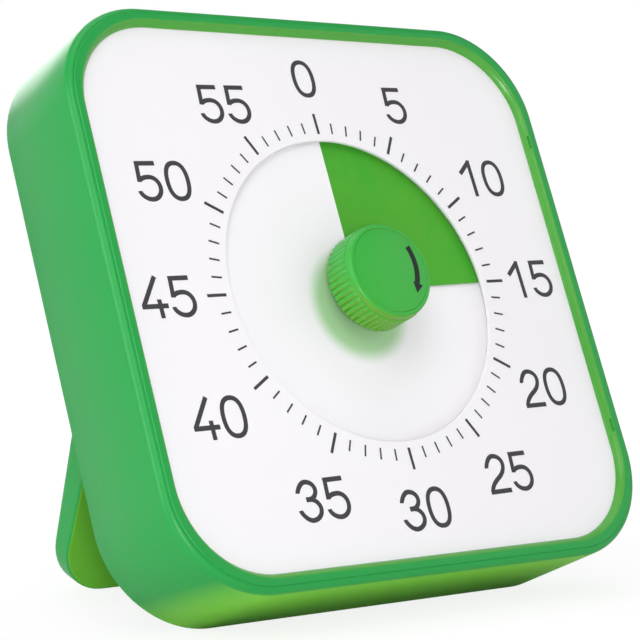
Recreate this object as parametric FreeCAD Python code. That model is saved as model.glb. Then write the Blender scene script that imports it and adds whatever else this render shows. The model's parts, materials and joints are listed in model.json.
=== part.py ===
import FreeCAD, Part
import math
import os

# Visual countdown timer: a square desk timer that leans back on a fold-out leg.
# All pieces are modelled in the frame of the dial, in millimetres: x to the right, y up along the
# dial, z out of the dial towards the reader, with the origin at the middle of the dial's face.
# stand_up() then tilts the whole timer back and sets it on the table.

# Housing
BODY = 140.0
CORNER_R = 24.3
DEPTH = 29.9
WALL = 2.5
LEAN = 23.0
RIM_FRONT = 2.0
FRONT_BEVEL = 0.9
REAR_BEVEL = 0.6
RIM_WIDTH = 4.6
RIM_CORNER_WIDTH = 3.1
LIP_BEVEL = 0.3
NOTCH_LENGTH = 3.6
NOTCH_DEPTH = 0.9
NOTCH_INSET = 31.5
CUT_PAST = 1.0
HOOK_REACH = 0.9
HOOK_HEIGHT = 1.3
FINGER_NOTCH_WIDTH = 26.0
FINGER_NOTCH_DEPTH = 6.0
FINGER_NOTCH_R = 4.8

# Dial
PANEL_T = 0.8
PANEL_GAP = 0.3
WINDOW_R = 38.0
CARRIER_T = 1.6
CUP_R = 39.6
CUP_WALL = 1.6
CUP_DEPTH = 3.4
CUP_FLOOR = 1.1
SHUTTER_GAP = 0.05
FLOOR_HOLE_R = 3.2

# Film and shutter: both climb by one pitch in a full turn
PITCH = 1.2
SHUTTER_T = 0.3
FILM_T = 0.25
SHUTTER_START = 2.95
SHUTTER_HOLE_R = 6.6
FILM_R = 38.9
SLIT_ANGLE = 0.5
STEPS_PER_TURN = 60
REST_ANGLE = 88.0

# Spindle and knob
SPINDLE_R = 2.5
SPINDLE_STEP = 0.4
SPINDLE_FOOT_GAP = 0.2
JOURNAL_R = 1.5
FLAT_DEPTH = 0.7
RUN_GAP = 0.06
HUB_R = 4.6
HUB_MARGIN = 0.12
KNOB_R = 12.0
KNOB_BAND_R = 11.7
KNOB_REAR = 2.3
KNOB_FRONT = 11.3
KNOB_BAND = 1.9
KNOB_BEVEL = 0.45
KNOB_WALL = 1.9
KNOB_RIBS = 50
RIB_DEPTH = 0.45
RIB_FLAT = 0.5
CAP_R = 10.6
CAP_T = 1.2
CAP_SINK = 0.15
KNOB_BOSS_R = 4.4
KNOB_BOSS_END = -0.4

# Movement
MOVEMENT_HALF = 27.0
MOVEMENT_CORNER = 3.0
MOVEMENT_INNER_CORNER = 2.4
MOVEMENT_WALL = 1.2
MOVEMENT_DEPTH = 12.0
SEAT_RIM_T = 0.8
SEAT_RIM_WALL = 1.0
SEAT_RIM_GAP = 0.1
EAR_REACH = 6.4
EAR_Y = 20.0
EAR_R = 3.0
EAR_T = 1.6
EAR_DROP = 8.6
EAR_HOLE_GAP = 0.2
POST_R = 2.6
GEAR_MODULE = 0.72
GEAR_ADDENDUM = 0.85
GEAR_DEDENDUM = 1.1
TOOTH_TIP_SHARE = 0.11
TOOTH_ROOT_SHARE = 0.3
PINION_TEETH = 8
WHEEL_TEETH = 24
CENTRE_TEETH = 32
WHEEL_T = 1.0
PINION_T = 1.6
ARBOR_R = 0.6
ARBOR_GAP = 0.05
BEARING_DEPTH = 0.9
END_PLAY = 0.15
CENTRE_WHEEL_DROP = 4.5
THIRD_WHEEL_DROP = 7.1
SECOND_WHEEL_DROP = 9.1
THIRD_DIRECTION = 225.0
SECOND_DIRECTION = 119.0
ROTOR_DIRECTION = 72.0
COLLAR_R = 4.0
COLLAR_T = 0.8
WASHER_R = 3.4
WASHER_T = 0.5
WASHER_CROWN = 0.5
CAM_R = 4.4
CAM_T = 1.1
CAM_NOTCH = 1.2
CAM_NOTCH_OUT = 0.2
MAGNET_R = 2.9
MAGNET_T = 2.8
STATOR_T = 1.2
STATOR_LIFT = 0.8
STATOR_WIDTH = 9.6
STATOR_HOLE_R = 3.3
COIL_OFFSET = 9.4
COIL_LENGTH = 19.0
COIL_R = 3.4
COIL_LOW_R = 2.7
COIL_CORNER_R = 1.6
SLEEVE_T = 0.5
COIL_FLANGE = 8.0
COIL_FLANGE_HEIGHT = 6.4
COIL_FLANGE_T = 0.8
CORE_WIDTH = 3.2
BOARD_T = 1.0
BOARD_INNER_X = 7.0
BOARD_HALF_Y = 23.0
BOARD_LIFT = 0.8
BOARD_GAP = 0.2
CHIP_INSET = 9.0
CRYSTAL_R = 1.0
CRYSTAL_LENGTH = 6.0
CRYSTAL_Y = 10.0
CRYSTAL_FOOT = 1.6
LEAD_T = 0.3
LEAD_LENGTH = 2.0
LEAD_SPACING = 1.0
CHIP_R = 3.6
CHIP_CROWN_R = 2.9
CHIP_HEIGHT = 1.2
CHIP_Y = -6.0
LEAF_T = 0.25
LEAF_LIFT = 0.15
LEAF_FOOT = 3.0

# Back cover and leg
COVER_T = 2.0
COVER_GAP = 0.25
TUB_WALL = 1.6
LEG_HALF = 49.0
LEG_CORNER_R = 12.6
LEG_TOP_R = 3.5
LEG_TOP_REACH = 1.0
LEG_GAP = 0.5
LEG_FLOOR_GAP = 0.4
HINGE_DROP = 43.3
HINGE_INSET = 3.7
LEG_END_GAP = 0.84
LEG_T = 8.2
FOOT_T = 5.6
TAPER_LENGTH = 32.0
HEEL_R = 5.2
STOP_GAP = 0.1
SWEEP_GAP = 0.05
LEG_WALL = 2.2
LEG_SKIN = 2.0
LEG_PLATE_T = 1.6
LEG_PLATE_GAP = 0.1
LEG_LEDGE = 1.2
LEG_BEVEL = 0.8
PIN_R = 1.25
PIN_LENGTH = 12.0
PIN_DEPTH = 8.0
PIN_END_GAP = 0.5

# Battery bay
BATTERY_R = 7.15
BATTERY_LENGTH = 50.5
BATTERY_DROP = 21.5
BUTTON_R = 2.75
BUTTON_LENGTH = 1.4
BATTERY_GAP = 0.5
BAY_HALF_X = 28.9
BAY_WALL = 1.4
CONTACT_T = 0.4
CONTACT_HALF = 5.0
SPRING_WIRE_R = 0.4
SPRING_TURNS = 3
SPRING_STEPS = 10
SPRING_R = 4.0
SPRING_END_R = 2.6
DOOR_T = 1.8
DOOR_HALF_X = 33.0
DOOR_HEIGHT = 22.0
DOOR_GAP = 0.3
DOOR_BELOW = 10.45
DOOR_PIN_R = 0.5
DOOR_PIN_LENGTH = 1.6
DOOR_GRIP_WIDTH = 12.0
GRIP_COUNT = 3
GRIP_PITCH = 1.6
GRIP_GROOVE = 0.8
GRIP_DEPTH = 0.4

# Sound parts
BUZZER_R = 9.5
BUZZER_T = 6.0
BUZZER_HOLE_R = 1.5
BUZZER_HOLE_DEPTH = 2.0
BUZZER_DROP = 23.5
BUZZER_POST_T = 1.6
BUZZER_POST_WIDTH = 3.0
BUZZER_POST_HEIGHT = 4.2
SIDE_SHARE = 0.37
GRILLE_R = 5.6
GRILLE_SLOT = 1.0
GRILLE_PITCH = 2.2
SWITCH_LENGTH = 14.0
SWITCH_WIDTH = 7.0
SWITCH_T = 5.0
SLIDER_LENGTH = 4.0
SLIDER_WIDTH = 3.4
SLIDER_TRAVEL = 4.0
SLIDER_PROUD = 0.8
SLIDER_GROOVE = 0.4
SLIDER_GROOVE_PITCH = 1.1
SLIDER_GROOVE_DEPTH = 0.3
SLOT_GAP = 0.3

# Flat sides that stand for a circle on small and hidden parts
SMALL_SIDES = 10
HEAD_SIDES = 14
ROUND_SIDES = 18
FINE_SIDES = 36

# Screws
CASE_SCREW_INSET = 7.8
CASE_SCREW_TOP = 39.0
CASE_SCREW_BOTTOM = 29.0
SCREW_R = 1.3
SCREW_HEAD_R = 2.6
SCREW_HEAD_T = 1.2
SCREW_LENGTH = 10.0
SCREW_GAP = 0.25
BOSS_R = 3.3
BOSS_LENGTH = 16.0
SMALL_SCREW_R = 0.9
SMALL_HEAD_R = 1.9
SMALL_HEAD_T = 0.9
SMALL_SCREW_LENGTH = 6.0

# Worked out from the sizes above
HALF = BODY / 2
BACK = RIM_FRONT - DEPTH
INNER_HALF = HALF - WALL
INNER_R = CORNER_R - WALL
LIP_HALF = HALF - RIM_WIDTH
LIP_CORNER_R = CORNER_R - RIM_CORNER_WIDTH
NOTCH_OFFSET = HALF - NOTCH_INSET
CASE_SCREW_X = HALF - CASE_SCREW_INSET
CASE_SCREW_YS = (HALF - CASE_SCREW_TOP, CASE_SCREW_BOTTOM - HALF)
PANEL_HALF = INNER_HALF - PANEL_GAP
PANEL_R = INNER_R - PANEL_GAP
CARRIER_REAR = -PANEL_T - CARRIER_T
CUP_TOP = -PANEL_T - CUP_DEPTH
CUP_REAR = CUP_TOP - CUP_FLOOR
MOVEMENT_REAR = CUP_REAR - MOVEMENT_DEPTH
CASE_TOP = CUP_REAR - MOVEMENT_WALL
CASE_FLOOR = MOVEMENT_REAR + MOVEMENT_WALL
COVER_INNER = BACK + COVER_T
HINGE_Y = HALF - HINGE_DROP
HINGE_Z = BACK + HINGE_INSET
LEG_LENGTH = HINGE_Y + INNER_HALF - LEG_END_GAP
TUB_FLOOR = BACK + LEG_T + LEG_FLOOR_GAP
TUB_TOP_Y = HINGE_Y + HEEL_R + LEG_GAP
TUB_HALF = LEG_HALF + LEG_GAP
BATTERY_Y = HALF - BATTERY_DROP
BATTERY_Z = BACK + DOOR_T + BATTERY_GAP + BATTERY_R
DOOR_LOWER = BATTERY_Y - DOOR_BELOW
BAY_END = BAY_HALF_X + BAY_WALL
SIDE_X = BAY_END + SIDE_SHARE * (INNER_HALF - BAY_END)
BUZZER_X = SIDE_X
BUZZER_Y = HALF - BUZZER_DROP
SWITCH_X = -SIDE_X
SWITCH_Y = BATTERY_Y
CENTRE_WHEEL_Z = CUP_REAR - CENTRE_WHEEL_DROP
THIRD_WHEEL_Z = CUP_REAR - THIRD_WHEEL_DROP
SECOND_WHEEL_Z = CUP_REAR - SECOND_WHEEL_DROP
FIRST_DISTANCE = GEAR_MODULE * (PINION_TEETH + CENTRE_TEETH) / 2
TRAIN_DISTANCE = GEAR_MODULE * (PINION_TEETH + WHEEL_TEETH) / 2


def at(x, y, z):
    return FreeCAD.Vector(x, y, z)


def polar(radius, degrees):
    turn = math.radians(degrees)
    return radius * math.cos(turn), radius * math.sin(turn)


def leg_opening():
    """Angle, from folded, at which the leg's foot stands on the table with the housing."""
    lean = math.radians(LEAN)
    hinge = HINGE_Y * math.cos(lean) + HINGE_Z * math.sin(lean)
    table = -HALF * math.cos(lean) + (BACK + REAR_BEVEL) * math.sin(lean)
    foot_front = FOOT_T - HINGE_INSET
    reach = math.hypot(LEG_LENGTH, foot_front)
    swing = math.atan2(foot_front, LEG_LENGTH) + math.acos((hinge - table) / reach)
    return LEAN + math.degrees(swing)


LEG_OPEN = leg_opening()
THIRD_XY = polar(FIRST_DISTANCE, THIRD_DIRECTION)
SECOND_STEP = polar(TRAIN_DISTANCE, SECOND_DIRECTION)
SECOND_XY = (THIRD_XY[0] + SECOND_STEP[0], THIRD_XY[1] + SECOND_STEP[1])
ROTOR_STEP = polar(TRAIN_DISTANCE, ROTOR_DIRECTION)
ROTOR_XY = (SECOND_XY[0] + ROTOR_STEP[0], SECOND_XY[1] + ROTOR_STEP[1])


def cylinder(radius, low, high, x=0.0, y=0.0):
    return Part.makeCylinder(radius, high - low, at(x, y, low), at(0, 0, 1))


def cylinder_x(radius, left, right, y, z):
    return Part.makeCylinder(radius, right - left, at(left, y, z), at(1, 0, 0))


def corner_ring(radius, sides, z, x, y):
    """Closed wire through evenly spaced corners on the radius."""
    corners = []
    for number in range(sides):
        px, py = polar(radius, 360 * (number + 0.5) / sides)
        corners.append(at(x + px, y + py, z))
    return Part.makePolygon(corners + corners[:1])


def post(radius, sides, low, high, x=0.0, y=0.0):
    """Upright post with flat sides, its corners on the radius."""
    return prism(corner_ring(radius, sides, low, x, y), high - low)


def post_x(radius, sides, left, right, y, z):
    """Post along x with flat sides, its corners on the radius."""
    bar = post(radius, sides, 0.0, right - left)
    bar.rotate(at(0, 0, 0), at(0, 1, 0), 90)
    bar.translate(at(left, y, z))
    return bar


def bore(radius, sides, low, high, x=0.0, y=0.0):
    """Tool for a hole with flat sides that touch the radius."""
    return post(radius / math.cos(math.pi / sides), sides, low, high, x, y)


def bore_x(radius, sides, left, right, y, z):
    return post_x(radius / math.cos(math.pi / sides), sides, left, right, y, z)


def tapered_post(low_r, high_r, sides, low, high, x=0.0, y=0.0):
    return Part.makeLoft([corner_ring(low_r, sides, low, x, y),
                          corner_ring(high_r, sides, high, x, y)], True, True)


def box(x0, x1, y0, y1, z0, z1):
    return Part.makeBox(x1 - x0, y1 - y0, z1 - z0, at(x0, y0, z0))


def rounded_wire(x0, x1, y0, y1, lower_r, upper_r, z):
    """Rectangle with rounded corners, the two lower ones and the two upper ones apart."""
    corners = [
        (x1 - lower_r, y0 + lower_r, lower_r, 270),
        (x1 - upper_r, y1 - upper_r, upper_r, 0),
        (x0 + upper_r, y1 - upper_r, upper_r, 90),
        (x0 + lower_r, y0 + lower_r, lower_r, 180),
    ]
    arcs = []
    for cx, cy, radius, start in corners:
        points = [polar(radius, start + turn) for turn in (0, 45, 90)]
        points = [at(cx + px, cy + py, z) for px, py in points]
        arcs.append(Part.Arc(points[0], points[1], points[2]).toShape())
    edges = []
    for number, arc in enumerate(arcs):
        edges.append(arc)
        end = arc.Vertexes[-1].Point
        start = arcs[(number + 1) % 4].Vertexes[0].Point
        edges.append(Part.LineSegment(end, start).toShape())
    return Part.Wire(edges)


def square_wire(half, radius, z):
    return rounded_wire(-half, half, -half, half, radius, radius, z)


def prism(wire, height):
    return Part.Face(wire).extrude(at(0, 0, height))


def square_prism(half, radius, low, high):
    return prism(square_wire(half, radius, low), high - low)


def side_prism(points, half_width):
    """Solid with the given outline of (y, z) points, running along x."""
    corners = [at(-half_width, y, z) for y, z in points]
    face = Part.Face(Part.makePolygon(corners + corners[:1]))
    return face.extrude(at(2 * half_width, 0, 0))


def cut_square(half, corner, low, high):
    """Upright square block with its four corners cut off."""
    near = half - corner
    points = [(half, -near), (half, near), (near, half), (-near, half),
              (-half, near), (-half, -near), (-near, -half), (near, -half)]
    corners = [at(x, y, low) for x, y in points]
    return prism(Part.makePolygon(corners + corners[:1]), high - low)


def fuse(shapes):
    whole = shapes[0].fuse(shapes[1:])
    return whole.removeSplitter()


def cut(shape, tools):
    return shape.cut(Part.makeCompound(tools))


def edges_at(shape, z):
    """Edges that lie whole in the plane at height z."""
    found = []
    for edge in shape.Edges:
        bounds = edge.BoundBox
        if abs(bounds.ZMin - z) < 0.001 and abs(bounds.ZMax - z) < 0.001:
            found.append(edge)
    return found


def sheet_corners(inner, outer, thickness, turn, height):
    """Four corners of a sheet's cross-section: lower inner, lower outer, upper outer, upper inner."""
    corners = []
    for radius, rise in ((inner, -0.5), (outer, -0.5), (outer, 0.5), (inner, 0.5)):
        px, py = polar(radius, turn)
        corners.append(at(px, py, height + rise * thickness))
    return corners


def flat_face(points):
    return Part.Face(Part.makePolygon(points + points[:1]))


def dial_screw(inner, outer, thickness, start_angle, start_z):
    """Thin sheet of one turn that starts start_angle clockwise of 0 and climbs by PITCH."""
    span = 360 - SLIT_ANGLE
    sections = []
    for number in range(STEPS_PER_TURN + 1):
        share = number / STEPS_PER_TURN
        turn = 90 - start_angle - SLIT_ANGLE / 2 - span * share
        sections.append(sheet_corners(inner, outer, thickness, turn, start_z + PITCH * share))
    faces = [flat_face(sections[0]), flat_face(sections[-1])]
    for near, far in zip(sections, sections[1:]):
        for a, b in ((0, 1), (1, 2), (2, 3), (3, 0)):
            faces.append(flat_face([near[a], near[b], far[b]]))
            faces.append(flat_face([near[a], far[b], far[a]]))
    shell = Part.makeShell(faces)
    shell.sewShape()
    solid = Part.makeSolid(shell)
    if solid.Volume < 0:
        solid.reverse()
    return solid


def gear(teeth, phase, low, high, x, y):
    """Spur gear with one tooth centred on the direction phase, in degrees."""
    pitch_r = GEAR_MODULE * teeth / 2
    step = 360 / teeth
    root_r = pitch_r - GEAR_DEDENDUM * GEAR_MODULE
    tip_r = pitch_r + GEAR_ADDENDUM * GEAR_MODULE
    corners = ((root_r, -TOOTH_ROOT_SHARE), (tip_r, -TOOTH_TIP_SHARE),
               (tip_r, TOOTH_TIP_SHARE), (root_r, TOOTH_ROOT_SHARE))
    outline = []
    for tooth in range(teeth):
        centre = phase + tooth * step
        for radius, share in corners:
            px, py = polar(radius, centre + share * step)
            outline.append(at(x + px, y + py, low))
    face = Part.Face(Part.makePolygon(outline + outline[:1]))
    return face.extrude(at(0, 0, high - low))


def screw(radius, head_r, head_t, length, x, y, seat):
    """Screw driven from behind: its head's under side is at z = seat."""
    shank = post(radius, SMALL_SIDES, seat, seat + length, x, y)
    return fuse([shank, post(head_r, HEAD_SIDES, seat - head_t, seat, x, y)])


def case_screw_places():
    return [(side * CASE_SCREW_X, y) for side in (-1, 1) for y in CASE_SCREW_YS]


def ear_places():
    reach = MOVEMENT_HALF + EAR_REACH / 2
    return [(side * reach, up * EAR_Y) for side in (-1, 1) for up in (-1, 1)]


def around_sides(make):
    """Two copies on each of the four sides of the dial, made by make(offset along the side)."""
    copies = []
    for quarter in range(4):
        for offset in (-NOTCH_OFFSET, NOTCH_OFFSET):
            copy = make(offset)
            copy.rotate(at(0, 0, 0), at(0, 0, 1), 90 * quarter)
            copies.append(copy)
    return copies


def make_front_housing():
    outer = square_prism(HALF, CORNER_R, BACK, RIM_FRONT)
    outer = outer.makeChamfer(FRONT_BEVEL, edges_at(outer, RIM_FRONT))
    outer = outer.makeChamfer(REAR_BEVEL, edges_at(outer, BACK))
    hollow = square_prism(INNER_HALF, INNER_R, BACK, 0.0)
    opening = square_prism(LIP_HALF, LIP_CORNER_R, 0.0, RIM_FRONT)
    shell = cut(outer, [hollow, opening])
    reach = LIP_HALF + LIP_BEVEL
    lip_edges = [
        edge for edge in edges_at(shell, RIM_FRONT)
        if max(edge.BoundBox.XMax, edge.BoundBox.YMax) < reach
        and min(edge.BoundBox.XMin, edge.BoundBox.YMin) > -reach
    ]
    shell = shell.makeChamfer(LIP_BEVEL, lip_edges)
    bosses = [make_case_boss(x, y) for x, y in case_screw_places()]
    shell = fuse([shell] + bosses + around_sides(make_hook))
    notches = around_sides(make_rim_notch)
    holes = [
        bore(SCREW_R, SMALL_SIDES, COVER_INNER, COVER_INNER + SCREW_LENGTH, x, y)
        for x, y in case_screw_places()
    ]
    return cut(shell, notches + holes + [make_finger_notch()])


def make_case_boss(x, y):
    """Screw boss joined to the side wall by a web."""
    boss = post(BOSS_R, SMALL_SIDES, COVER_INNER, COVER_INNER + BOSS_LENGTH, x, y)
    wall_x = math.copysign(INNER_HALF + WALL / 2, x)
    half_web = WALL / 2
    web = box(min(x, wall_x), max(x, wall_x), y - half_web, y + half_web,
              COVER_INNER, COVER_INNER + BOSS_LENGTH)
    return boss.fuse(web)


def make_hook(offset):
    """Snap hook on the right-hand wall that holds the dial carrier from behind."""
    top = CARRIER_REAR
    profile = [
        at(INNER_HALF + WALL / 2, offset - NOTCH_LENGTH / 2, top),
        at(INNER_HALF - HOOK_REACH, offset - NOTCH_LENGTH / 2, top),
        at(INNER_HALF, offset - NOTCH_LENGTH / 2, top - HOOK_HEIGHT),
        at(INNER_HALF + WALL / 2, offset - NOTCH_LENGTH / 2, top - HOOK_HEIGHT),
    ]
    face = Part.Face(Part.makePolygon(profile + profile[:1]))
    return face.extrude(at(0, NOTCH_LENGTH, 0))


def make_rim_notch(offset):
    """Small notch in the front inner edge of the rim, over each hook."""
    return box(LIP_HALF - CUT_PAST, LIP_HALF + NOTCH_DEPTH, offset - NOTCH_LENGTH / 2,
               offset + NOTCH_LENGTH / 2, RIM_FRONT / 2, RIM_FRONT + CUT_PAST)


def make_finger_notch():
    """Rounded cut in the bottom wall that lets a finger reach the end of the folded leg."""
    half = FINGER_NOTCH_WIDTH / 2
    wire = rounded_wire(-half, half, BACK - FINGER_NOTCH_DEPTH, BACK + FINGER_NOTCH_DEPTH,
                        FINGER_NOTCH_R, FINGER_NOTCH_R, 0.0)
    slot = prism(wire, WALL + CUT_PAST)
    slot.rotate(at(0, 0, 0), at(1, 0, 0), 90)
    slot.translate(at(0, -INNER_HALF, 0))
    return slot


def make_dial_panel():
    sheet = square_prism(PANEL_HALF, PANEL_R, -PANEL_T, 0.0)
    return sheet.cut(cylinder(WINDOW_R, -PANEL_T, 0.0))


def make_dial_carrier():
    """Tray behind the dial: a flat plate with the cup that holds film and shutter."""
    plate = square_prism(PANEL_HALF, PANEL_R, CARRIER_REAR, -PANEL_T)
    cup = post(CUP_R + CUP_WALL, STEPS_PER_TURN, CUP_REAR, -PANEL_T)
    posts = [
        post(POST_R, SMALL_SIDES, CUP_REAR - EAR_DROP, CUP_REAR, x, y)
        for x, y in ear_places()
    ]
    tray = fuse([plate, cup] + posts)
    room = bore(CUP_R, STEPS_PER_TURN, CUP_TOP, -PANEL_T)
    hole = bore(FLOOR_HOLE_R, ROUND_SIDES, CUP_REAR, CUP_TOP)
    pilots = [
        bore(SMALL_SCREW_R, SMALL_SIDES, CUP_REAR - EAR_DROP,
             CUP_REAR - EAR_DROP - EAR_T + SMALL_SCREW_LENGTH, x, y)
        for x, y in ear_places()
    ]
    return cut(tray, [room, hole] + pilots)


def make_white_shutter():
    """Fixed white sheet of one turn, slit at 0 and held at its rim by the cup."""
    return dial_screw(SHUTTER_HOLE_R, CUP_R - SHUTTER_GAP, SHUTTER_T, 0.0, -SHUTTER_START)


def film_start():
    """Height of the film's hidden end, one turn behind its leading edge at REST_ANGLE."""
    return -SHUTTER_START + PITCH / 2 + PITCH * (REST_ANGLE - 360) / 360


def make_timer_film():
    """Green sheet of one turn that lies over the shutter from 0 to REST_ANGLE."""
    inner = HUB_R / math.cos(math.pi / STEPS_PER_TURN)
    return dial_screw(inner, FILM_R, FILM_T, REST_ANGLE, film_start())


def d_shaft(radius, low, high, flat):
    bar = post(radius, ROUND_SIDES, low, high)
    return bar.cut(box(-radius, radius, radius - flat, radius, low, high))


def make_film_hub():
    low = film_start() - FILM_T / 2 - HUB_MARGIN
    high = film_start() + PITCH + FILM_T / 2 + HUB_MARGIN
    hub = post(HUB_R, FINE_SIDES, low, high)
    return hub.cut(d_shaft(SPINDLE_R + RUN_GAP, low, high, FLAT_DEPTH))


def knob_floor():
    """Height of the knob's front wall, on which its cap lies."""
    return KNOB_FRONT - CAP_T - CAP_SINK


def make_spindle():
    step = CASE_FLOOR + SPINDLE_STEP
    foot = cylinder(JOURNAL_R, MOVEMENT_REAR + SPINDLE_FOOT_GAP, step)
    stem = post(SPINDLE_R, ROUND_SIDES, step, CUP_REAR)
    upper = d_shaft(SPINDLE_R, CUP_REAR, knob_floor() - KNOB_WALL, FLAT_DEPTH)
    collar_low = CENTRE_WHEEL_Z + WHEEL_T
    collar = post(COLLAR_R, ROUND_SIDES, collar_low, collar_low + COLLAR_T)
    return fuse([foot, stem, upper, collar])


def ribbed_prism(tip_r, low, high):
    """Barrel with straight ribs: flat tips and V-shaped grooves."""
    step = 360 / KNOB_RIBS
    outline = []
    for number in range(KNOB_RIBS):
        for radius, share in ((tip_r, -RIB_FLAT / 2), (tip_r, RIB_FLAT / 2),
                              (tip_r - RIB_DEPTH, 0.5)):
            px, py = polar(radius, (number + share) * step)
            outline.append(at(px, py, low))
    face = Part.Face(Part.makePolygon(outline + outline[:1]))
    return face.extrude(at(0, 0, high - low))


def make_knob():
    floor = knob_floor()
    band_rear = KNOB_FRONT - KNOB_BAND
    barrel = ribbed_prism(KNOB_R, KNOB_REAR, band_rear)
    band = post(KNOB_BAND_R, KNOB_RIBS, band_rear, KNOB_FRONT - KNOB_BEVEL)
    bevel = tapered_post(KNOB_BAND_R, KNOB_BAND_R - KNOB_BEVEL, KNOB_RIBS,
                         KNOB_FRONT - KNOB_BEVEL, KNOB_FRONT)
    body = fuse([barrel, band, bevel])
    body = body.cut(post(KNOB_R - KNOB_WALL, FINE_SIDES, KNOB_REAR, floor - KNOB_WALL))
    boss = post(KNOB_BOSS_R, ROUND_SIDES, KNOB_BOSS_END, floor - KNOB_WALL / 2)
    body = fuse([body, boss])
    shaft_hole = d_shaft(SPINDLE_R, KNOB_BOSS_END, floor - KNOB_WALL, FLAT_DEPTH)
    return cut(body, [shaft_hole, post(CAP_R, KNOB_RIBS, floor, KNOB_FRONT)])


def make_knob_cap():
    return post(CAP_R, KNOB_RIBS, knob_floor(), knob_floor() + CAP_T)


def make_movement_front():
    """Front shell of the movement's case, with ears for its screws."""
    outer = cut_square(MOVEMENT_HALF, MOVEMENT_CORNER, CASE_FLOOR, CUP_REAR)
    ears = []
    ear_top = CUP_REAR - EAR_DROP
    ear_end = MOVEMENT_HALF + EAR_REACH
    for y in (-EAR_Y, EAR_Y):
        ears.append(box(-ear_end, ear_end, y - EAR_R, y + EAR_R, ear_top - EAR_T, ear_top))
    body = fuse([outer] + ears)
    inner_half = MOVEMENT_HALF - MOVEMENT_WALL
    room = cut_square(inner_half, MOVEMENT_INNER_CORNER, CASE_FLOOR, CASE_TOP)
    holes = [bore(SPINDLE_R + RUN_GAP, ROUND_SIDES, CASE_TOP, CUP_REAR)]
    for x, y in ear_places():
        holes.append(bore(SMALL_SCREW_R + EAR_HOLE_GAP, SMALL_SIDES, ear_top - EAR_T, ear_top,
                          x, y))
    for x, y in (THIRD_XY, SECOND_XY, ROTOR_XY):
        holes.append(bore(ARBOR_R + ARBOR_GAP, SMALL_SIDES, CASE_TOP, CASE_TOP + BEARING_DEPTH,
                          x, y))
    return cut(body, [room] + holes)


def make_movement_rear():
    """Rear plate of the movement's case."""
    plate = cut_square(MOVEMENT_HALF, MOVEMENT_CORNER, MOVEMENT_REAR, CASE_FLOOR)
    rim_half = MOVEMENT_HALF - MOVEMENT_WALL - SEAT_RIM_GAP
    rim_top = CASE_FLOOR + SEAT_RIM_T
    rim = cut_square(rim_half, MOVEMENT_INNER_CORNER, CASE_FLOOR, rim_top)
    rim = rim.cut(cut_square(rim_half - SEAT_RIM_WALL, MOVEMENT_INNER_CORNER - SEAT_RIM_WALL / 2,
                             CASE_FLOOR, rim_top))
    holes = [bore(JOURNAL_R + RUN_GAP, SMALL_SIDES, MOVEMENT_REAR, CASE_FLOOR)]
    for x, y in (THIRD_XY, SECOND_XY, ROTOR_XY):
        holes.append(bore(ARBOR_R + ARBOR_GAP, SMALL_SIDES, CASE_FLOOR - BEARING_DEPTH,
                          CASE_FLOOR, x, y))
    return cut(fuse([plate, rim]), holes)


def arbor(x, y):
    """Shaft of a wheel, with a round pivot in the rear plate's bearing."""
    pivot = cylinder(ARBOR_R, CASE_FLOOR - BEARING_DEPTH + END_PLAY, CASE_FLOOR, x, y)
    shaft = post(ARBOR_R, SMALL_SIDES, CASE_FLOOR, CASE_TOP + BEARING_DEPTH - END_PLAY, x, y)
    return shaft.fuse(pivot)


def make_centre_wheel():
    """Wheel that turns the spindle through the friction washer."""
    low = CENTRE_WHEEL_Z
    wheel = gear(CENTRE_TEETH, THIRD_DIRECTION, low, low + WHEEL_T, 0.0, 0.0)
    return wheel.cut(bore(SPINDLE_R + RUN_GAP, ROUND_SIDES, low, low + WHEEL_T))


def wheel_with_pinion(xy, wheel_z, wheel_phase, pinion_z, pinion_phase):
    x, y = xy
    wheel = gear(WHEEL_TEETH, wheel_phase, wheel_z, wheel_z + WHEEL_T, x, y)
    pinion = gear(PINION_TEETH, pinion_phase, pinion_z, pinion_z + PINION_T, x, y)
    return fuse([wheel, pinion, arbor(x, y)])


def half_step(teeth):
    return 180 / teeth


def pinion_height(wheel_z):
    return wheel_z + WHEEL_T / 2 - PINION_T / 2


def make_third_wheel():
    facing = THIRD_DIRECTION + 180 + half_step(PINION_TEETH)
    return wheel_with_pinion(THIRD_XY, THIRD_WHEEL_Z, SECOND_DIRECTION,
                             pinion_height(CENTRE_WHEEL_Z), facing)


def make_second_wheel():
    facing = SECOND_DIRECTION + 180 + half_step(PINION_TEETH)
    return wheel_with_pinion(SECOND_XY, SECOND_WHEEL_Z, ROTOR_DIRECTION,
                             pinion_height(THIRD_WHEEL_Z), facing)


def make_rotor():
    """Magnet rotor with its pinion."""
    x, y = ROTOR_XY
    facing = ROTOR_DIRECTION + 180 + half_step(PINION_TEETH)
    low = pinion_height(SECOND_WHEEL_Z)
    pinion = gear(PINION_TEETH, facing, low, low + PINION_T, x, y)
    magnet_low = stator_height() + STATOR_T / 2 - MAGNET_T / 2
    magnet = post(MAGNET_R, ROUND_SIDES, magnet_low, magnet_low + MAGNET_T, x, y)
    return fuse([pinion, magnet, arbor(x, y)])


def stator_height():
    return THIRD_WHEEL_Z + STATOR_LIFT


def coil_y():
    return ROTOR_XY[1] + COIL_OFFSET


def make_stator():
    """Flat soft-iron plate with a hole round the rotor and two ears for the coil's core."""
    x, y = ROTOR_XY
    low = stator_height()
    half_length = COIL_LENGTH / 2 + CORE_WIDTH
    half_width = STATOR_WIDTH / 2
    strip = box(x - half_length, x + half_length, y - half_width, y + half_width,
                low, low + STATOR_T)
    ears = []
    for side in (-1, 1):
        ear_x = x + side * (half_length - CORE_WIDTH / 2)
        ears.append(box(ear_x - CORE_WIDTH / 2, ear_x + CORE_WIDTH / 2, y,
                        coil_y() + CORE_WIDTH / 2, low, low + STATOR_T))
    hole = bore(STATOR_HOLE_R, ROUND_SIDES, low, low + STATOR_T, x, y)
    return fuse([strip] + ears).cut(hole)


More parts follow.
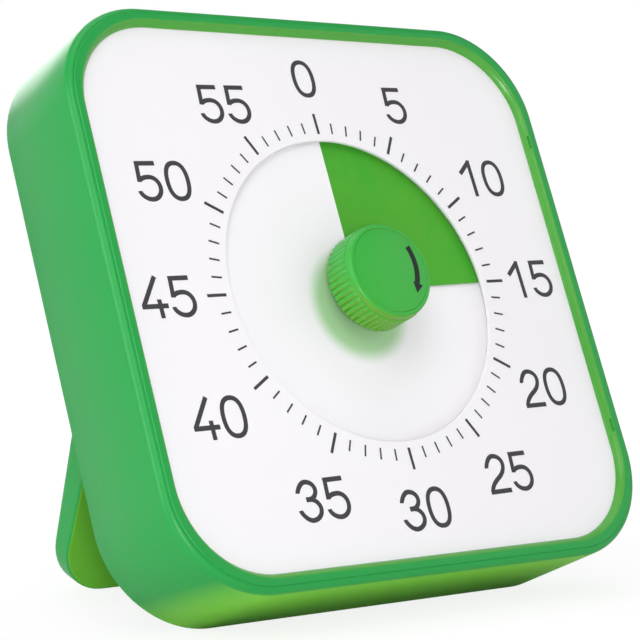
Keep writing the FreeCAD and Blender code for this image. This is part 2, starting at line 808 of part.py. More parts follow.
def make_coil_core():
    """Bar through the coil that lies on the stator's ears."""
    x = ROTOR_XY[0]
    low = stator_height() + STATOR_T
    half_length = COIL_LENGTH / 2 + CORE_WIDTH
    half = CORE_WIDTH / 2
    return box(x - half_length, x + half_length, coil_y() - half, coil_y() + half,
               low, low + STATOR_T)


def coil_axis():
    return coil_y(), stator_height() + STATOR_T * 1.5


def make_coil_bobbin():
    x = ROTOR_XY[0]
    y, z = coil_axis()
    half = COIL_LENGTH / 2
    flange = COIL_FLANGE / 2
    rise = COIL_FLANGE_HEIGHT / 2
    sleeve = CORE_WIDTH / 2 + SLEEVE_T
    lift = STATOR_T / 2 + SLEEVE_T
    tube = box(x - half, x + half, y - sleeve, y + sleeve, z - lift, z + lift)
    ends = []
    for side in (-1, 1):
        inner_x = x + side * (half - COIL_FLANGE_T)
        outer_x = x + side * half
        ends.append(box(min(inner_x, outer_x), max(inner_x, outer_x), y - flange, y + flange,
                        z - rise, z + rise))
    core = box(x - half, x + half, y - CORE_WIDTH / 2, y + CORE_WIDTH / 2,
               z - STATOR_T / 2, z + STATOR_T / 2)
    return fuse([tube] + ends).cut(core)


def make_coil_winding():
    """Copper winding: the wire on the bobbin as one block with rounded edges."""
    x = ROTOR_XY[0]
    y, z = coil_axis()
    half = COIL_LENGTH / 2 - COIL_FLANGE_T
    wire = rounded_wire(-COIL_R, COIL_R, -COIL_LOW_R, COIL_LOW_R, COIL_CORNER_R,
                        COIL_CORNER_R, 0.0)
    body = prism(wire, 2 * half)
    body.rotate(at(0, 0, 0), at(0, 0, 1), 90)
    body.rotate(at(0, 0, 0), at(0, 1, 0), 90)
    body.translate(at(x - half, y, z))
    sleeve = CORE_WIDTH / 2 + SLEEVE_T
    lift = STATOR_T / 2 + SLEEVE_T
    return body.cut(box(x - half, x + half, y - sleeve, y + sleeve, z - lift, z + lift))


def make_clutch_washer():
    """Spring washer that presses the centre wheel against the spindle's collar."""
    top = CENTRE_WHEEL_Z
    dish = tapered_post(WASHER_R, SPINDLE_R + WASHER_CROWN, ROUND_SIDES, top - WASHER_T, top)
    return dish.cut(post(SPINDLE_R, ROUND_SIDES, top - WASHER_T, top))


def make_alarm_cam():
    """Cam on the spindle, notched where the alarm contact drops at 0."""
    high = SECOND_WHEEL_Z + WHEEL_T
    disc = post(CAM_R, FINE_SIDES, high - CAM_T, high)
    notch_x, notch_y = polar(CAM_R + CAM_NOTCH_OUT, -REST_ANGLE)
    notch = post(CAM_NOTCH, SMALL_SIDES, high - CAM_T, high, notch_x, notch_y)
    return cut(disc, [post(SPINDLE_R, ROUND_SIDES, high - CAM_T, high), notch])


def make_circuit_board():
    low = CASE_FLOOR + BOARD_LIFT
    outer = MOVEMENT_HALF - MOVEMENT_WALL - BOARD_GAP
    return box(BOARD_INNER_X, outer, -BOARD_HALF_Y, BOARD_HALF_Y, low, low + BOARD_T)


def board_top():
    return CASE_FLOOR + BOARD_LIFT + BOARD_T


def make_quartz_crystal():
    x = MOVEMENT_HALF - CHIP_INSET
    low = board_top()
    can = post_x(CRYSTAL_R, ROUND_SIDES, 0.0, CRYSTAL_LENGTH, 0.0, 0.0)
    can.rotate(at(0, 0, 0), at(0, 0, 1), 90)
    can.translate(at(x, CRYSTAL_Y, low + CRYSTAL_R))
    half_foot = CRYSTAL_FOOT / 2
    parts = [can, box(x - half_foot, x + half_foot, CRYSTAL_Y - half_foot / 2,
                      CRYSTAL_Y + half_foot / 2, low, low + CRYSTAL_R)]
    for side in (-1, 1):
        lead_x = x + side * LEAD_SPACING / 2
        parts.append(box(lead_x - LEAD_T / 2, lead_x + LEAD_T / 2, CRYSTAL_Y - LEAD_LENGTH,
                         CRYSTAL_Y, low, low + LEAD_T))
    return fuse(parts)


def make_driver_chip():
    """Driver chip under a drop of resin."""
    x = MOVEMENT_HALF - CHIP_INSET
    low = board_top()
    skirt = post(CHIP_R, ROUND_SIDES, low, low + CHIP_HEIGHT / 2, x, CHIP_Y)
    crown = post(CHIP_CROWN_R, ROUND_SIDES, low, low + CHIP_HEIGHT, x, CHIP_Y)
    return fuse([skirt, crown])


def make_alarm_contact():
    """Bent bronze leaf from the circuit board to the edge of the cam."""
    high = SECOND_WHEEL_Z + WHEEL_T
    low = board_top() + LEAF_LIFT
    tip = CAM_R + LEAF_T
    foot_x = BOARD_INNER_X + 2 * LEAF_FOOT
    foot_y = -2 * CAM_R
    path = [(foot_x, foot_y), (tip + LEAF_FOOT, foot_y / 2), (tip + LEAF_FOOT / 2, -LEAF_FOOT / 2),
            (tip, 0.0), (tip + LEAF_FOOT / 4, LEAF_FOOT / 2)]
    blades = []
    for start, end in zip(path, path[1:]):
        blades.append(leaf_blade(start, end, low, high))
    half = LEAF_FOOT / 2
    foot = box(foot_x - half, foot_x + half, foot_y - half / 2, foot_y + half / 2, board_top(), high)
    return fuse(blades + [foot])


def leaf_blade(start, end, low, high):
    """Upright strip from one (x, y) point to the next, with a round end."""
    length = math.dist(start, end)
    strip = box(0, length, -LEAF_T / 2, LEAF_T / 2, low, high)
    strip = strip.fuse(post(LEAF_T / 2, SMALL_SIDES, low, high))
    strip.rotate(at(0, 0, 0), at(0, 0, 1),
                 math.degrees(math.atan2(end[1] - start[1], end[0] - start[0])))
    strip.translate(at(start[0], start[1], 0))
    return strip


def make_back_cover():
    """Back cover with the leg's tub, the battery bay and the seats of buzzer and switch."""
    half = INNER_HALF - COVER_GAP
    plate = square_prism(half, INNER_R - COVER_GAP, BACK, COVER_INNER)
    adds = [make_tub(TUB_WALL), make_bay_block()] + buzzer_posts()
    edge = square_prism(half, INNER_R - COVER_GAP, BACK, 0.0)
    body = fuse([plate] + adds).common(edge)
    cuts = [make_tub(0.0), make_bay_room(), make_door_opening(), make_switch_slot()]
    cuts += grille_slots()
    for x, y in case_screw_places():
        cuts.append(bore(SCREW_R + SCREW_GAP, SMALL_SIDES, BACK, COVER_INNER, x, y))
        cuts.append(bore(SCREW_HEAD_R + SCREW_GAP, ROUND_SIDES, BACK, BACK + SCREW_HEAD_T,
                         x, y))
    for side in (-1, 1):
        inner = side * TUB_HALF
        outer = side * (TUB_HALF + TUB_WALL)
        cuts.append(post_x(PIN_R, ROUND_SIDES, min(inner, outer), max(inner, outer),
                           HINGE_Y, HINGE_Z))
    cuts += door_pin_sockets()
    return cut(body, cuts)


def make_tub(wall):
    """Room for the folded leg, grown by wall on its closed sides and open at the bottom."""
    wire = rounded_wire(-TUB_HALF - wall, TUB_HALF + wall, -INNER_HALF - wall, TUB_TOP_Y + wall,
                        LEG_CORNER_R + LEG_GAP + wall, LEG_GAP + wall, BACK)
    return prism(wire, TUB_FLOOR - BACK + wall)


def bay_top():
    return BATTERY_Z + BATTERY_R + BATTERY_GAP


def make_bay_block():
    reach = BATTERY_R + BATTERY_GAP + BAY_WALL
    return box(-BAY_HALF_X - BAY_WALL, BAY_HALF_X + BAY_WALL, BATTERY_Y - reach,
               BATTERY_Y + reach, BACK + DOOR_T, bay_top() + BAY_WALL)


def make_bay_room():
    """Battery bay: a round-topped trough, open towards the door."""
    reach = BATTERY_R + BATTERY_GAP
    trough = cylinder_x(reach, -BAY_HALF_X, BAY_HALF_X, BATTERY_Y, BATTERY_Z)
    mouth = box(-BAY_HALF_X, BAY_HALF_X, BATTERY_Y - reach, BATTERY_Y + reach,
                BACK + DOOR_T, BATTERY_Z)
    return trough.fuse(mouth)


def make_door_opening():
    return box(-DOOR_HALF_X - DOOR_GAP, DOOR_HALF_X + DOOR_GAP, DOOR_LOWER - DOOR_GAP,
               DOOR_LOWER + DOOR_HEIGHT + DOOR_GAP, BACK, BACK + DOOR_T)


def door_axis():
    return DOOR_LOWER + DOOR_T / 2, BACK + DOOR_T / 2


def door_pin_sockets():
    y, z = door_axis()
    outer = DOOR_HALF_X + DOOR_PIN_LENGTH + DOOR_GAP
    return [bore_x(DOOR_PIN_R + RUN_GAP, SMALL_SIDES, -outer, outer, y, z)]


def make_battery_door():
    """Door with a round lower edge, two pivot pins and a finger grip at the top."""
    y, z = door_axis()
    panel = box(-DOOR_HALF_X, DOOR_HALF_X, y, DOOR_LOWER + DOOR_HEIGHT, BACK, BACK + DOOR_T)
    edge = cylinder_x(DOOR_T / 2, -DOOR_HALF_X, DOOR_HALF_X, y, z)
    reach = DOOR_HALF_X + DOOR_PIN_LENGTH
    pins = post_x(DOOR_PIN_R, SMALL_SIDES, -reach, reach, y, z)
    door = fuse([panel, edge, pins])
    top = DOOR_LOWER + DOOR_HEIGHT
    grips = []
    for number in range(GRIP_COUNT):
        low = top - GRIP_PITCH * (number + 2)
        grips.append(box(-DOOR_GRIP_WIDTH / 2, DOOR_GRIP_WIDTH / 2, low, low + GRIP_GROOVE,
                         BACK, BACK + GRIP_DEPTH))
    return cut(door, grips)


def make_battery_cell():
    half = BATTERY_LENGTH / 2
    left = -BAY_HALF_X + CONTACT_T + BUTTON_LENGTH
    return post_x(BATTERY_R, FINE_SIDES, left, left + 2 * half - BUTTON_LENGTH, BATTERY_Y,
                  BATTERY_Z)


def make_battery_button():
    left = -BAY_HALF_X + CONTACT_T
    return post_x(BUTTON_R, ROUND_SIDES, left, left + BUTTON_LENGTH, BATTERY_Y, BATTERY_Z)


def make_contact_plate():
    left = -BAY_HALF_X
    half = CONTACT_HALF
    return box(left, left + CONTACT_T, BATTERY_Y - half, BATTERY_Y + half,
               BATTERY_Z - half, BATTERY_Z + half)


def make_contact_spring():
    """Cone-shaped spring on its own plate at the battery's flat end."""
    right = BAY_HALF_X
    battery_end = -BAY_HALF_X + CONTACT_T + BATTERY_LENGTH
    room = right - CONTACT_T - battery_end - 2 * SPRING_WIRE_R
    steps = SPRING_TURNS * SPRING_STEPS
    sections = []
    for number in range(steps + 1):
        share = number / steps
        radius = SPRING_END_R + (SPRING_R - SPRING_END_R) * share
        corners = []
        for turn in (0, 90, 180, 270):
            out, along = polar(SPRING_WIRE_R, turn)
            px, py = polar(radius + out, 360 * number / SPRING_STEPS)
            corners.append(at(battery_end + SPRING_WIRE_R + room * share + along,
                              BATTERY_Y + px, BATTERY_Z + py))
        sections.append(Part.makePolygon(corners + corners[:1]))
    coil = Part.makeLoft(sections, True, True)
    half = CONTACT_HALF
    plate = box(right - CONTACT_T, right, BATTERY_Y - half, BATTERY_Y + half,
                BATTERY_Z - half, BATTERY_Z + half)
    clip_z = BATTERY_Z - SPRING_WIRE_R
    clip = box(right - CONTACT_T - 2.2 * SPRING_WIRE_R, right - CONTACT_T,
               BATTERY_Y + SPRING_R - 1.0, BATTERY_Y + SPRING_R + 1.0, clip_z - 1.0, clip_z + 1.0)
    return fuse([plate, clip, coil])


def grille_slots():
    """Five straight slots in front of the buzzer, shorter towards the ends."""
    slots = []
    for number in range(-2, 3):
        y = BUZZER_Y + number * GRILLE_PITCH
        half = math.sqrt(GRILLE_R ** 2 - (number * GRILLE_PITCH) ** 2)
        slots.append(box(BUZZER_X - half, BUZZER_X + half, y - GRILLE_SLOT / 2,
                         y + GRILLE_SLOT / 2, BACK, COVER_INNER))
    return slots


def buzzer_posts():
    """Four posts on the cover that hold the buzzer's can."""
    posts = []
    for number in range(4):
        holder = box(BUZZER_R, BUZZER_R + BUZZER_POST_T, -BUZZER_POST_WIDTH / 2,
                     BUZZER_POST_WIDTH / 2, BACK + COVER_T / 2, COVER_INNER + BUZZER_POST_HEIGHT)
        holder.rotate(at(0, 0, 0), at(0, 0, 1), 45 + 90 * number)
        holder.translate(at(BUZZER_X, BUZZER_Y, 0))
        posts.append(holder)
    return posts


def make_buzzer():
    low = COVER_INNER
    can = post(BUZZER_R, FINE_SIDES, low, low + BUZZER_T, BUZZER_X, BUZZER_Y)
    hole = post(BUZZER_HOLE_R, SMALL_SIDES, low, low + BUZZER_HOLE_DEPTH, BUZZER_X, BUZZER_Y)
    return can.cut(hole)


def make_switch_slot():
    half_x = (SLIDER_LENGTH + SLIDER_TRAVEL) / 2 + SLOT_GAP
    half_y = SLIDER_WIDTH / 2 + SLOT_GAP
    return box(SWITCH_X - half_x, SWITCH_X + half_x, SWITCH_Y - half_y, SWITCH_Y + half_y,
               BACK, COVER_INNER)


def make_switch_body():
    low = COVER_INNER
    body = box(SWITCH_X - SWITCH_LENGTH / 2, SWITCH_X + SWITCH_LENGTH / 2,
               SWITCH_Y - SWITCH_WIDTH / 2, SWITCH_Y + SWITCH_WIDTH / 2, low, low + SWITCH_T)
    half_x = (SLIDER_LENGTH + SLIDER_TRAVEL) / 2 + SLOT_GAP
    half_y = SLIDER_WIDTH / 2 + SLOT_GAP
    room = box(SWITCH_X - half_x, SWITCH_X + half_x, SWITCH_Y - half_y, SWITCH_Y + half_y,
               low, low + SWITCH_T / 2)
    return body.cut(room)


def make_switch_slider():
    left = SWITCH_X - (SLIDER_LENGTH + SLIDER_TRAVEL) / 2
    bar = box(left, left + SLIDER_LENGTH, SWITCH_Y - SLIDER_WIDTH / 2,
              SWITCH_Y + SLIDER_WIDTH / 2, BACK - SLIDER_PROUD,
              COVER_INNER + SWITCH_T / 2 - SLOT_GAP)
    grooves = []
    for number in (-1, 0, 1):
        gx = left + SLIDER_LENGTH / 2 + SLIDER_GROOVE_PITCH * number - SLIDER_GROOVE / 2
        grooves.append(box(gx, gx + SLIDER_GROOVE, SWITCH_Y - SLIDER_WIDTH / 2,
                           SWITCH_Y + SLIDER_WIDTH / 2, BACK - SLIDER_PROUD,
                           BACK - SLIDER_PROUD + SLIDER_GROOVE_DEPTH))
    return cut(bar, grooves)


def leg_profile():
    """Side outline of the folded leg as (y, z) from the hinge axis, without its round heel."""
    rear = -HINGE_INSET
    front = rear + LEG_T
    return [
        (0.0, rear),
        (-LEG_LENGTH, rear),
        (-LEG_LENGTH, rear + FOOT_T),
        (-LEG_LENGTH + TAPER_LENGTH, front),
        (0.0, front),
    ]


def stop_distance():
    """Distance from the hinge axis to the heel's flat, which meets the tub floor when open."""
    return TUB_FLOOR - HINGE_Z - STOP_GAP


def place_folded(shape):
    shape.translate(at(0, HINGE_Y, HINGE_Z))
    return shape


def make_heel():
    """Round top end of the leg: a barrel that turns clear of the tub floor, and a wider lobe.

    The lobe lies behind the barrel as the leg opens, and its flat meets the floor at the stop.
    """
    barrel = cylinder_x(stop_distance() + STOP_GAP - SWEEP_GAP, -LEG_HALF, LEG_HALF, 0.0, 0.0)
    lobe = cylinder_x(HEEL_R, -LEG_HALF, LEG_HALF, 0.0, 0.0)
    limits = box(-LEG_HALF, LEG_HALF, 0.0, 2 * HEEL_R, -2 * HEEL_R, stop_distance())
    limits.rotate(at(0, 0, 0), at(1, 0, 0), -LEG_OPEN)
    behind = box(-LEG_HALF, LEG_HALF, -HEEL_R, HEEL_R, -HINGE_INSET, HEEL_R)
    return fuse([barrel, lobe.common(limits)]).common(behind)


def leg_outline(inset):
    """Upright prism of the leg's outline as seen from behind, drawn in by inset."""
    wire = rounded_wire(-LEG_HALF + inset, LEG_HALF - inset, -LEG_LENGTH + inset,
                        HEEL_R + LEG_TOP_REACH, LEG_CORNER_R - inset, LEG_TOP_R, -2 * LEG_T)
    return prism(wire, 4 * LEG_T)


def leg_pocket(inset, drop):
    """Hollow of the leg: everything from drop under the front face down to the rear skin."""
    front = LEG_T - HINGE_INSET
    foot_front = FOOT_T - HINGE_INSET
    slope = (front - foot_front) / TAPER_LENGTH
    low_y = -LEG_LENGTH + inset
    points = [
        (-HEEL_R - inset, -HINGE_INSET + LEG_SKIN),
        (low_y, -HINGE_INSET + LEG_SKIN),
        (low_y, foot_front + slope * inset - drop),
        (-LEG_LENGTH + TAPER_LENGTH, front - drop),
        (-HEEL_R - inset, front - drop),
    ]
    return side_prism(points, LEG_HALF - inset).common(leg_outline(inset))


def leg_lid(inset):
    """Front layer of the leg, as thick as its plate."""
    front = LEG_T - HINGE_INSET
    foot_front = FOOT_T - HINGE_INSET
    slope = (front - foot_front) / TAPER_LENGTH
    low_y = -LEG_LENGTH + inset
    points = [
        (-HEEL_R - inset, front - LEG_PLATE_T),
        (-LEG_LENGTH + TAPER_LENGTH, front - LEG_PLATE_T),
        (low_y, foot_front + slope * inset - LEG_PLATE_T),
        (low_y, foot_front + slope * inset),
        (-LEG_LENGTH + TAPER_LENGTH, front),
        (-HEEL_R - inset, front),
    ]
    return side_prism(points, LEG_HALF - inset).common(leg_outline(inset))


def make_leg_shell():
    """Rear and side walls of the leg, with its heel and the bores for the hinge pins."""
    solid = side_prism(leg_profile(), LEG_HALF)
    solid = fuse([solid, make_heel()]).common(leg_outline(0.0)).Solids[0]
    solid = solid.makeChamfer(LEG_BEVEL, edges_at(solid, -HINGE_INSET))
    pocket = leg_pocket(LEG_WALL + LEG_LEDGE, LEG_PLATE_T)
    rebate = leg_lid(LEG_WALL)
    bores = []
    for side in (-1, 1):
        inner = side * (LEG_HALF - PIN_DEPTH - PIN_END_GAP)
        outer = side * LEG_HALF
        bores.append(bore_x(PIN_R + RUN_GAP, ROUND_SIDES, min(inner, outer),
                            max(inner, outer), 0.0, 0.0))
    return place_folded(cut(solid, [pocket, rebate] + bores))


def make_leg_plate():
    """Smooth front of the leg, let into its shell."""
    return place_folded(leg_lid(LEG_WALL + LEG_PLATE_GAP))


def make_hinge_pins():
    pins = []
    for side in (-1, 1):
        inner = side * (LEG_HALF - PIN_DEPTH)
        outer = side * (LEG_HALF - PIN_DEPTH + PIN_LENGTH)
        pins.append(post_x(PIN_R, ROUND_SIDES, min(inner, outer), max(inner, outer),
                           HINGE_Y, HINGE_Z))
    return Part.makeCompound(pins)


def make_case_screws():
    seat = BACK + SCREW_HEAD_T
    return Part.makeCompound([
        screw(SCREW_R, SCREW_HEAD_R, SCREW_HEAD_T, SCREW_LENGTH, x, y, seat)
        for x, y in case_screw_places()
    ])


def make_movement_screws():
    seat = CUP_REAR - EAR_DROP - EAR_T
    return Part.makeCompound([
        screw(SMALL_SCREW_R, SMALL_HEAD_R, SMALL_HEAD_T, SMALL_SCREW_LENGTH, x, y, seat)
        for x, y in ear_places()
    ])


def open_leg(shape):
    """Turn a folded leg piece out to its stop."""
    shape.rotate(at(0, HINGE_Y, HINGE_Z), at(1, 0, 0), LEG_OPEN)
    return shape


def lowest_and_span(pieces):
    low = min(piece.optimalBoundingBox(False, False).ZMin for piece in pieces)
    front = min(piece.optimalBoundingBox(False, False).YMin for piece in pieces)
    back = max(piece.optimalBoundingBox(False, False).YMax for piece in pieces)
    return low, (front + back) / 2


def tilt(shape):
    """Lean the dial frame back so that z-up is the table's upright."""
    shape.rotate(at(0, 0, 0), at(1, 0, 0), 90 - LEAN)
    return shape


def stand_up(pieces):
    """Tilt every piece and set the timer on z = 0, centred on x and y."""
    for shape in pieces.values():
        tilt(shape)
    low, middle = lowest_and_span([pieces["front_housing"], pieces["leg_shell"]])
    for shape in pieces.values():
        shape.translate(at(0, -middle, -low))
    return at(0, -middle, -low)


def make_pieces():
    return {
        "front_housing": make_front_housing(),
        "dial_panel": make_dial_panel(),
        "dial_carrier": make_dial_carrier(),
        "white_shutter": make_white_shutter(),
        "timer_film": make_timer_film(),
        "film_hub": make_film_hub(),
        "spindle": make_spindle(),
        "knob": make_knob(),
        "knob_cap": make_knob_cap(),
        "movement_front": make_movement_front(),
        "movement_rear": make_movement_rear(),
        "centre_wheel": make_centre_wheel(),
        "third_wheel": make_third_wheel(),
        "second_wheel": make_second_wheel(),
        "rotor": make_rotor(),
        "stator": make_stator(),
        "coil_core": make_coil_core(),
        "coil_bobbin": make_coil_bobbin(),
        "coil_winding": make_coil_winding(),
        "clutch_washer": make_clutch_washer(),
        "alarm_cam": make_alarm_cam(),
        "alarm_contact": make_alarm_contact(),
        "circuit_board": make_circuit_board(),
        "quartz_crystal": make_quartz_crystal(),
        "driver_chip": make_driver_chip(),
        "back_cover": make_back_cover(),
        "battery_door": make_battery_door(),
        "battery_cell": make_battery_cell(),
        "battery_button": make_battery_button(),
        "contact_plate": make_contact_plate(),
        "contact_spring": make_contact_spring(),
        "buzzer": make_buzzer(),
        "switch_body": make_switch_body(),
        "switch_slider": make_switch_slider(),
        "leg_shell": open_leg(make_leg_shell()),
        "leg_plate": open_leg(make_leg_plate()),
        "hinge_pins": make_hinge_pins(),
        "case_screws": make_case_screws(),
        "movement_screws": make_movement_screws(),
    }


def main():
    os.makedirs("parts", exist_ok=True)
    pieces = make_pieces()
    shift = stand_up(pieces)
    print("shift after the tilt", shift.x, shift.y, shift.z)
    print("leg opens by", LEG_OPEN, "degrees")
    for name, shape in pieces.items():
        if not shape.isValid() or shape.Volume <= 0:
            print("bad solid", name, shape.Volume)
        shape.exportStep(os.path.join("parts", name + ".step"))


main()
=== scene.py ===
import json
import math

import bmesh
import bpy
from bpy.props import FloatProperty, FloatVectorProperty, IntProperty, PointerProperty
from mathutils import Euler, Matrix, Vector


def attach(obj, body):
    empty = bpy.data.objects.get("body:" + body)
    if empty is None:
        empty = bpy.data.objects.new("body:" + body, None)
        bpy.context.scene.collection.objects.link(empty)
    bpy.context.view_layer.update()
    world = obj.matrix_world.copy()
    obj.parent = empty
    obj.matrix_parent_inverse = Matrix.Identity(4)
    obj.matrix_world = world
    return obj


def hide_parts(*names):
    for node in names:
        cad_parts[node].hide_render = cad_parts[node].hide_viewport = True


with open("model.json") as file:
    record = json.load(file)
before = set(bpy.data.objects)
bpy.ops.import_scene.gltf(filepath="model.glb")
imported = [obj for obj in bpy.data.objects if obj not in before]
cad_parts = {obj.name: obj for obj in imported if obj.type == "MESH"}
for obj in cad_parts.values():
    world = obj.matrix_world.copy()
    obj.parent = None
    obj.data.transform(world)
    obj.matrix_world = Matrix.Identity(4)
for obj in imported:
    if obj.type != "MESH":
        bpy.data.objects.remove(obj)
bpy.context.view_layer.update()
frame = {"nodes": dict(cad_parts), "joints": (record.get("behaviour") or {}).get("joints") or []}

bl_info = {
    "name": "Visual countdown timer",
    "version": (1, 0, 0),
    "blender": (4, 5, 0),
    "location": "View3D > Sidebar > Timer",
    "description": "Builds a square countdown timer with its dial, knob, film and fold-out leg",
    "category": "Add Mesh",
}


# Places. Dial pieces are drawn in millimetres with x right, y up the dial and z out of it.

def joint_named(name):
    return next(joint for joint in frame["joints"] if joint["name"] == name)


def dial_place():
    """Matrix from the dial's millimetres to the model's metres."""
    knob = joint_named("knob_turn")
    out = -Vector(knob["axis"]).normalized()
    right = Vector((1.0, 0.0, 0.0))
    up = out.cross(right)
    place = Matrix((right, up, out)).transposed().to_4x4()
    place.translation = Vector(knob["pos_m"])
    return place @ Matrix.Scale(0.001, 4)


DIAL = dial_place()
LEG_JOINT = joint_named("leg_fold")
LEG_TURN = -math.radians(LEG_JOINT["range_deg"][0])
HINGE = DIAL.inverted() @ Vector(LEG_JOINT["pos_m"])
LEG = DIAL @ Matrix.Translation(HINGE) @ Matrix.Rotation(LEG_TURN, 4, "X")


class TimerSizes(bpy.types.PropertyGroup):
    """Sizes of the timer that the looks are built from, in millimetres."""

    body: FloatProperty(name="Body", description="Side of the square housing", default=140.0,
                        min=100.0)
    corner: FloatProperty(name="Corner", description="Outer corner radius", default=24.3, min=5.0)
    rim_front: FloatProperty(name="Rim", description="Rim's height over the dial", default=2.0, min=0.5)
    depth: FloatProperty(name="Depth", description="Depth of the housing", default=29.9, min=15.0)
    wall: FloatProperty(name="Wall", description="Thickness of the side walls", default=2.5, min=1.0)
    edge_width: FloatProperty(name="Edge width", description="Width of the outer round",
                              default=1.55, min=0.2)
    edge_depth: FloatProperty(name="Edge depth", description="Depth of the outer round",
                              default=2.2, min=0.2)
    lip_slope: FloatProperty(name="Lip slope", description="Width of the lip's slanted wall",
                             default=1.0, min=0.2)
    lip: FloatProperty(name="Lip", description="Half width of the dial's opening", default=65.4,
                       min=40.0)
    lip_corner: FloatProperty(name="Lip corner", description="Corner radius of the opening",
                              default=21.2, min=4.0)
    window: FloatProperty(name="Window", description="Radius of the dial's window", default=38.0, min=10.0)
    film: FloatProperty(name="Film", description="Radius of the film", default=38.9, min=10.0)
    pitch: FloatProperty(name="Pitch", description="Climb of the film in a turn", default=1.2, min=0.2)
    shown: FloatProperty(name="Angle shown", description="Angle of film that shows, in degrees",
                         default=88.0, min=0.0, max=360.0)
    knob: FloatProperty(name="Knob", description="Radius of the knob over its ribs", default=12.0, min=5.0)
    ribs: IntProperty(name="Ribs", description="Ribs round the knob", default=50, min=12)


class TimerColours(bpy.types.PropertyGroup):
    """Main colours of the timer, as scene-linear values."""

    shell: FloatVectorProperty(name="Shell", description="Green of the housing", subtype="COLOR",
                               size=3, min=0.0, max=1.0, default=(0.0165, 0.325, 0.061))
    film: FloatVectorProperty(name="Film", description="Green of the film", subtype="COLOR",
                              size=3, min=0.0, max=1.0, default=(0.040, 0.385, 0.030))
    dial: FloatVectorProperty(name="Dial", description="White of the dial", subtype="COLOR",
                              size=3, min=0.0, max=1.0, default=(0.915, 0.895, 0.915))


def sizes():
    return bpy.context.scene.timer_sizes


def colours():
    return bpy.context.scene.timer_colours


# Materials

def linear(code):
    """Scene-linear colour of an sRGB hex value such as 22A549."""
    channels = []
    for start in (0, 2, 4):
        value = int(code[start:start + 2], 16) / 255
        channels.append(value / 12.92 if value <= 0.04045 else ((value + 0.055) / 1.055) ** 2.4)
    return (*channels, 1.0)


def add_node(tree, kind, settings=None, links=None):
    """One node with its settings and inputs, each input a value or another node's socket."""
    node = tree.nodes.new(kind)
    for name, value in (settings or {}).items():
        setattr(node, name, value)
    for name, value in (links or {}).items():
        if isinstance(value, bpy.types.NodeSocket):
            tree.links.new(value, node.inputs[name])
        else:
            node.inputs[name].default_value = value
    return node


def new_material(name):
    material = bpy.data.materials.new(name)
    material.use_nodes = True
    material.node_tree.nodes.clear()
    return material, material.node_tree


def finish_material(tree, shader):
    add_node(tree, "ShaderNodeOutputMaterial", links={"Surface": shader})


def object_millimetres(tree):
    """Object coordinates scaled so that one unit is a millimetre."""
    coords = add_node(tree, "ShaderNodeTexCoord")
    scale = add_node(tree, "ShaderNodeVectorMath", {"operation": "SCALE"},
                     {0: coords.outputs["Object"], "Scale": 1000.0})
    return scale.outputs["Vector"]


def moulded_abs(name, colour, deep, painted_underside, roughness=0.36, turn=(-0.72, -0.92),
                gloss=0.3):
    """Injection-moulded ABS: an even satin skin with faint flow clouds and a fine orange peel.

    Faces that look down go over to the colour painted_underside, between the two world heights of the
    normal
    in turn. This is painted light and shade: the floor's light and the shade below are put into the base
    colour.
    in turn.
    """
    material, tree = new_material(name)
    place = object_millimetres(tree)
    flow = add_node(tree, "ShaderNodeTexNoise", links={"Vector": place, "Scale": 0.03, "Detail": 2.0})
    mixed = add_node(tree, "ShaderNodeMix", {"data_type": "RGBA"},
                     {"Factor": flow.outputs["Fac"], "A": colour, "B": deep})
    shape = add_node(tree, "ShaderNodeNewGeometry")
    axes = add_node(tree, "ShaderNodeSeparateXYZ", links={"Vector": shape.outputs["Normal"]})
    below = add_node(tree, "ShaderNodeMapRange", links={
        "Value": axes.outputs["Z"], "From Min": turn[0], "From Max": turn[1]})
    # Painted light and shade: faces that look down take the painted_underside colour.
    olive = add_node(tree, "ShaderNodeMix", {"data_type": "RGBA"},
                     {"Factor": below.outputs["Result"], "A": mixed.outputs["Result"], "B": painted_underside})
    peel = add_node(tree, "ShaderNodeTexNoise", links={"Vector": place, "Scale": 0.9, "Detail": 3.0})
    bump = add_node(tree, "ShaderNodeBump",
                    links={"Height": peel.outputs["Fac"], "Strength": 0.05, "Distance": 0.0003})
    shader = add_node(tree, "ShaderNodeBsdfPrincipled", links={
        "Base Color": olive.outputs["Result"], "Roughness": roughness, "IOR": 1.53,
        "Specular IOR Level": gloss, "Normal": bump.outputs["Normal"]})
    finish_material(tree, shader.outputs["BSDF"])
    return material


def plain_finish(name, colour, roughness, metallic=0.0, grain=1.2, strength=0.08):
    """Small part's finish: one colour, a roughness that wanders a little and a fine grain."""
    material, tree = new_material(name)
    place = object_millimetres(tree)
    noise = add_node(tree, "ShaderNodeTexNoise", links={"Vector": place, "Scale": grain, "Detail": 4.0})
    spread = add_node(tree, "ShaderNodeMapRange", links={
        "Value": noise.outputs["Fac"], "To Min": roughness - 0.06, "To Max": roughness + 0.06})
    bump = add_node(tree, "ShaderNodeBump",
                    links={"Height": noise.outputs["Fac"], "Strength": strength, "Distance": 0.0002})
    values = {"Base Color": colour, "Roughness": spread.outputs["Result"], "Metallic": metallic,
              "Normal": bump.outputs["Normal"]}
    shader = add_node(tree, "ShaderNodeBsdfPrincipled", links=values)
    finish_material(tree, shader.outputs["BSDF"])
    return material


def coloured_film(name, colour, light):
    """Dyed PVC sheet: satin, with soft cloudy bands from its rolling."""
    material, tree = new_material(name)
    place = object_millimetres(tree)
    cloud = add_node(tree, "ShaderNodeTexNoise",
                     links={"Vector": place, "Scale": 0.06, "Detail": 3.0, "Distortion": 1.2})
    mixed = add_node(tree, "ShaderNodeMix", {"data_type": "RGBA"},
                     {"Factor": cloud.outputs["Fac"], "A": colour, "B": light})
    shader = add_node(tree, "ShaderNodeBsdfPrincipled", links={
        "Base Color": mixed.outputs["Result"], "Roughness": 0.5, "IOR": 1.54, "Specular IOR Level": 0.12})
    finish_material(tree, shader.outputs["BSDF"])
    return material


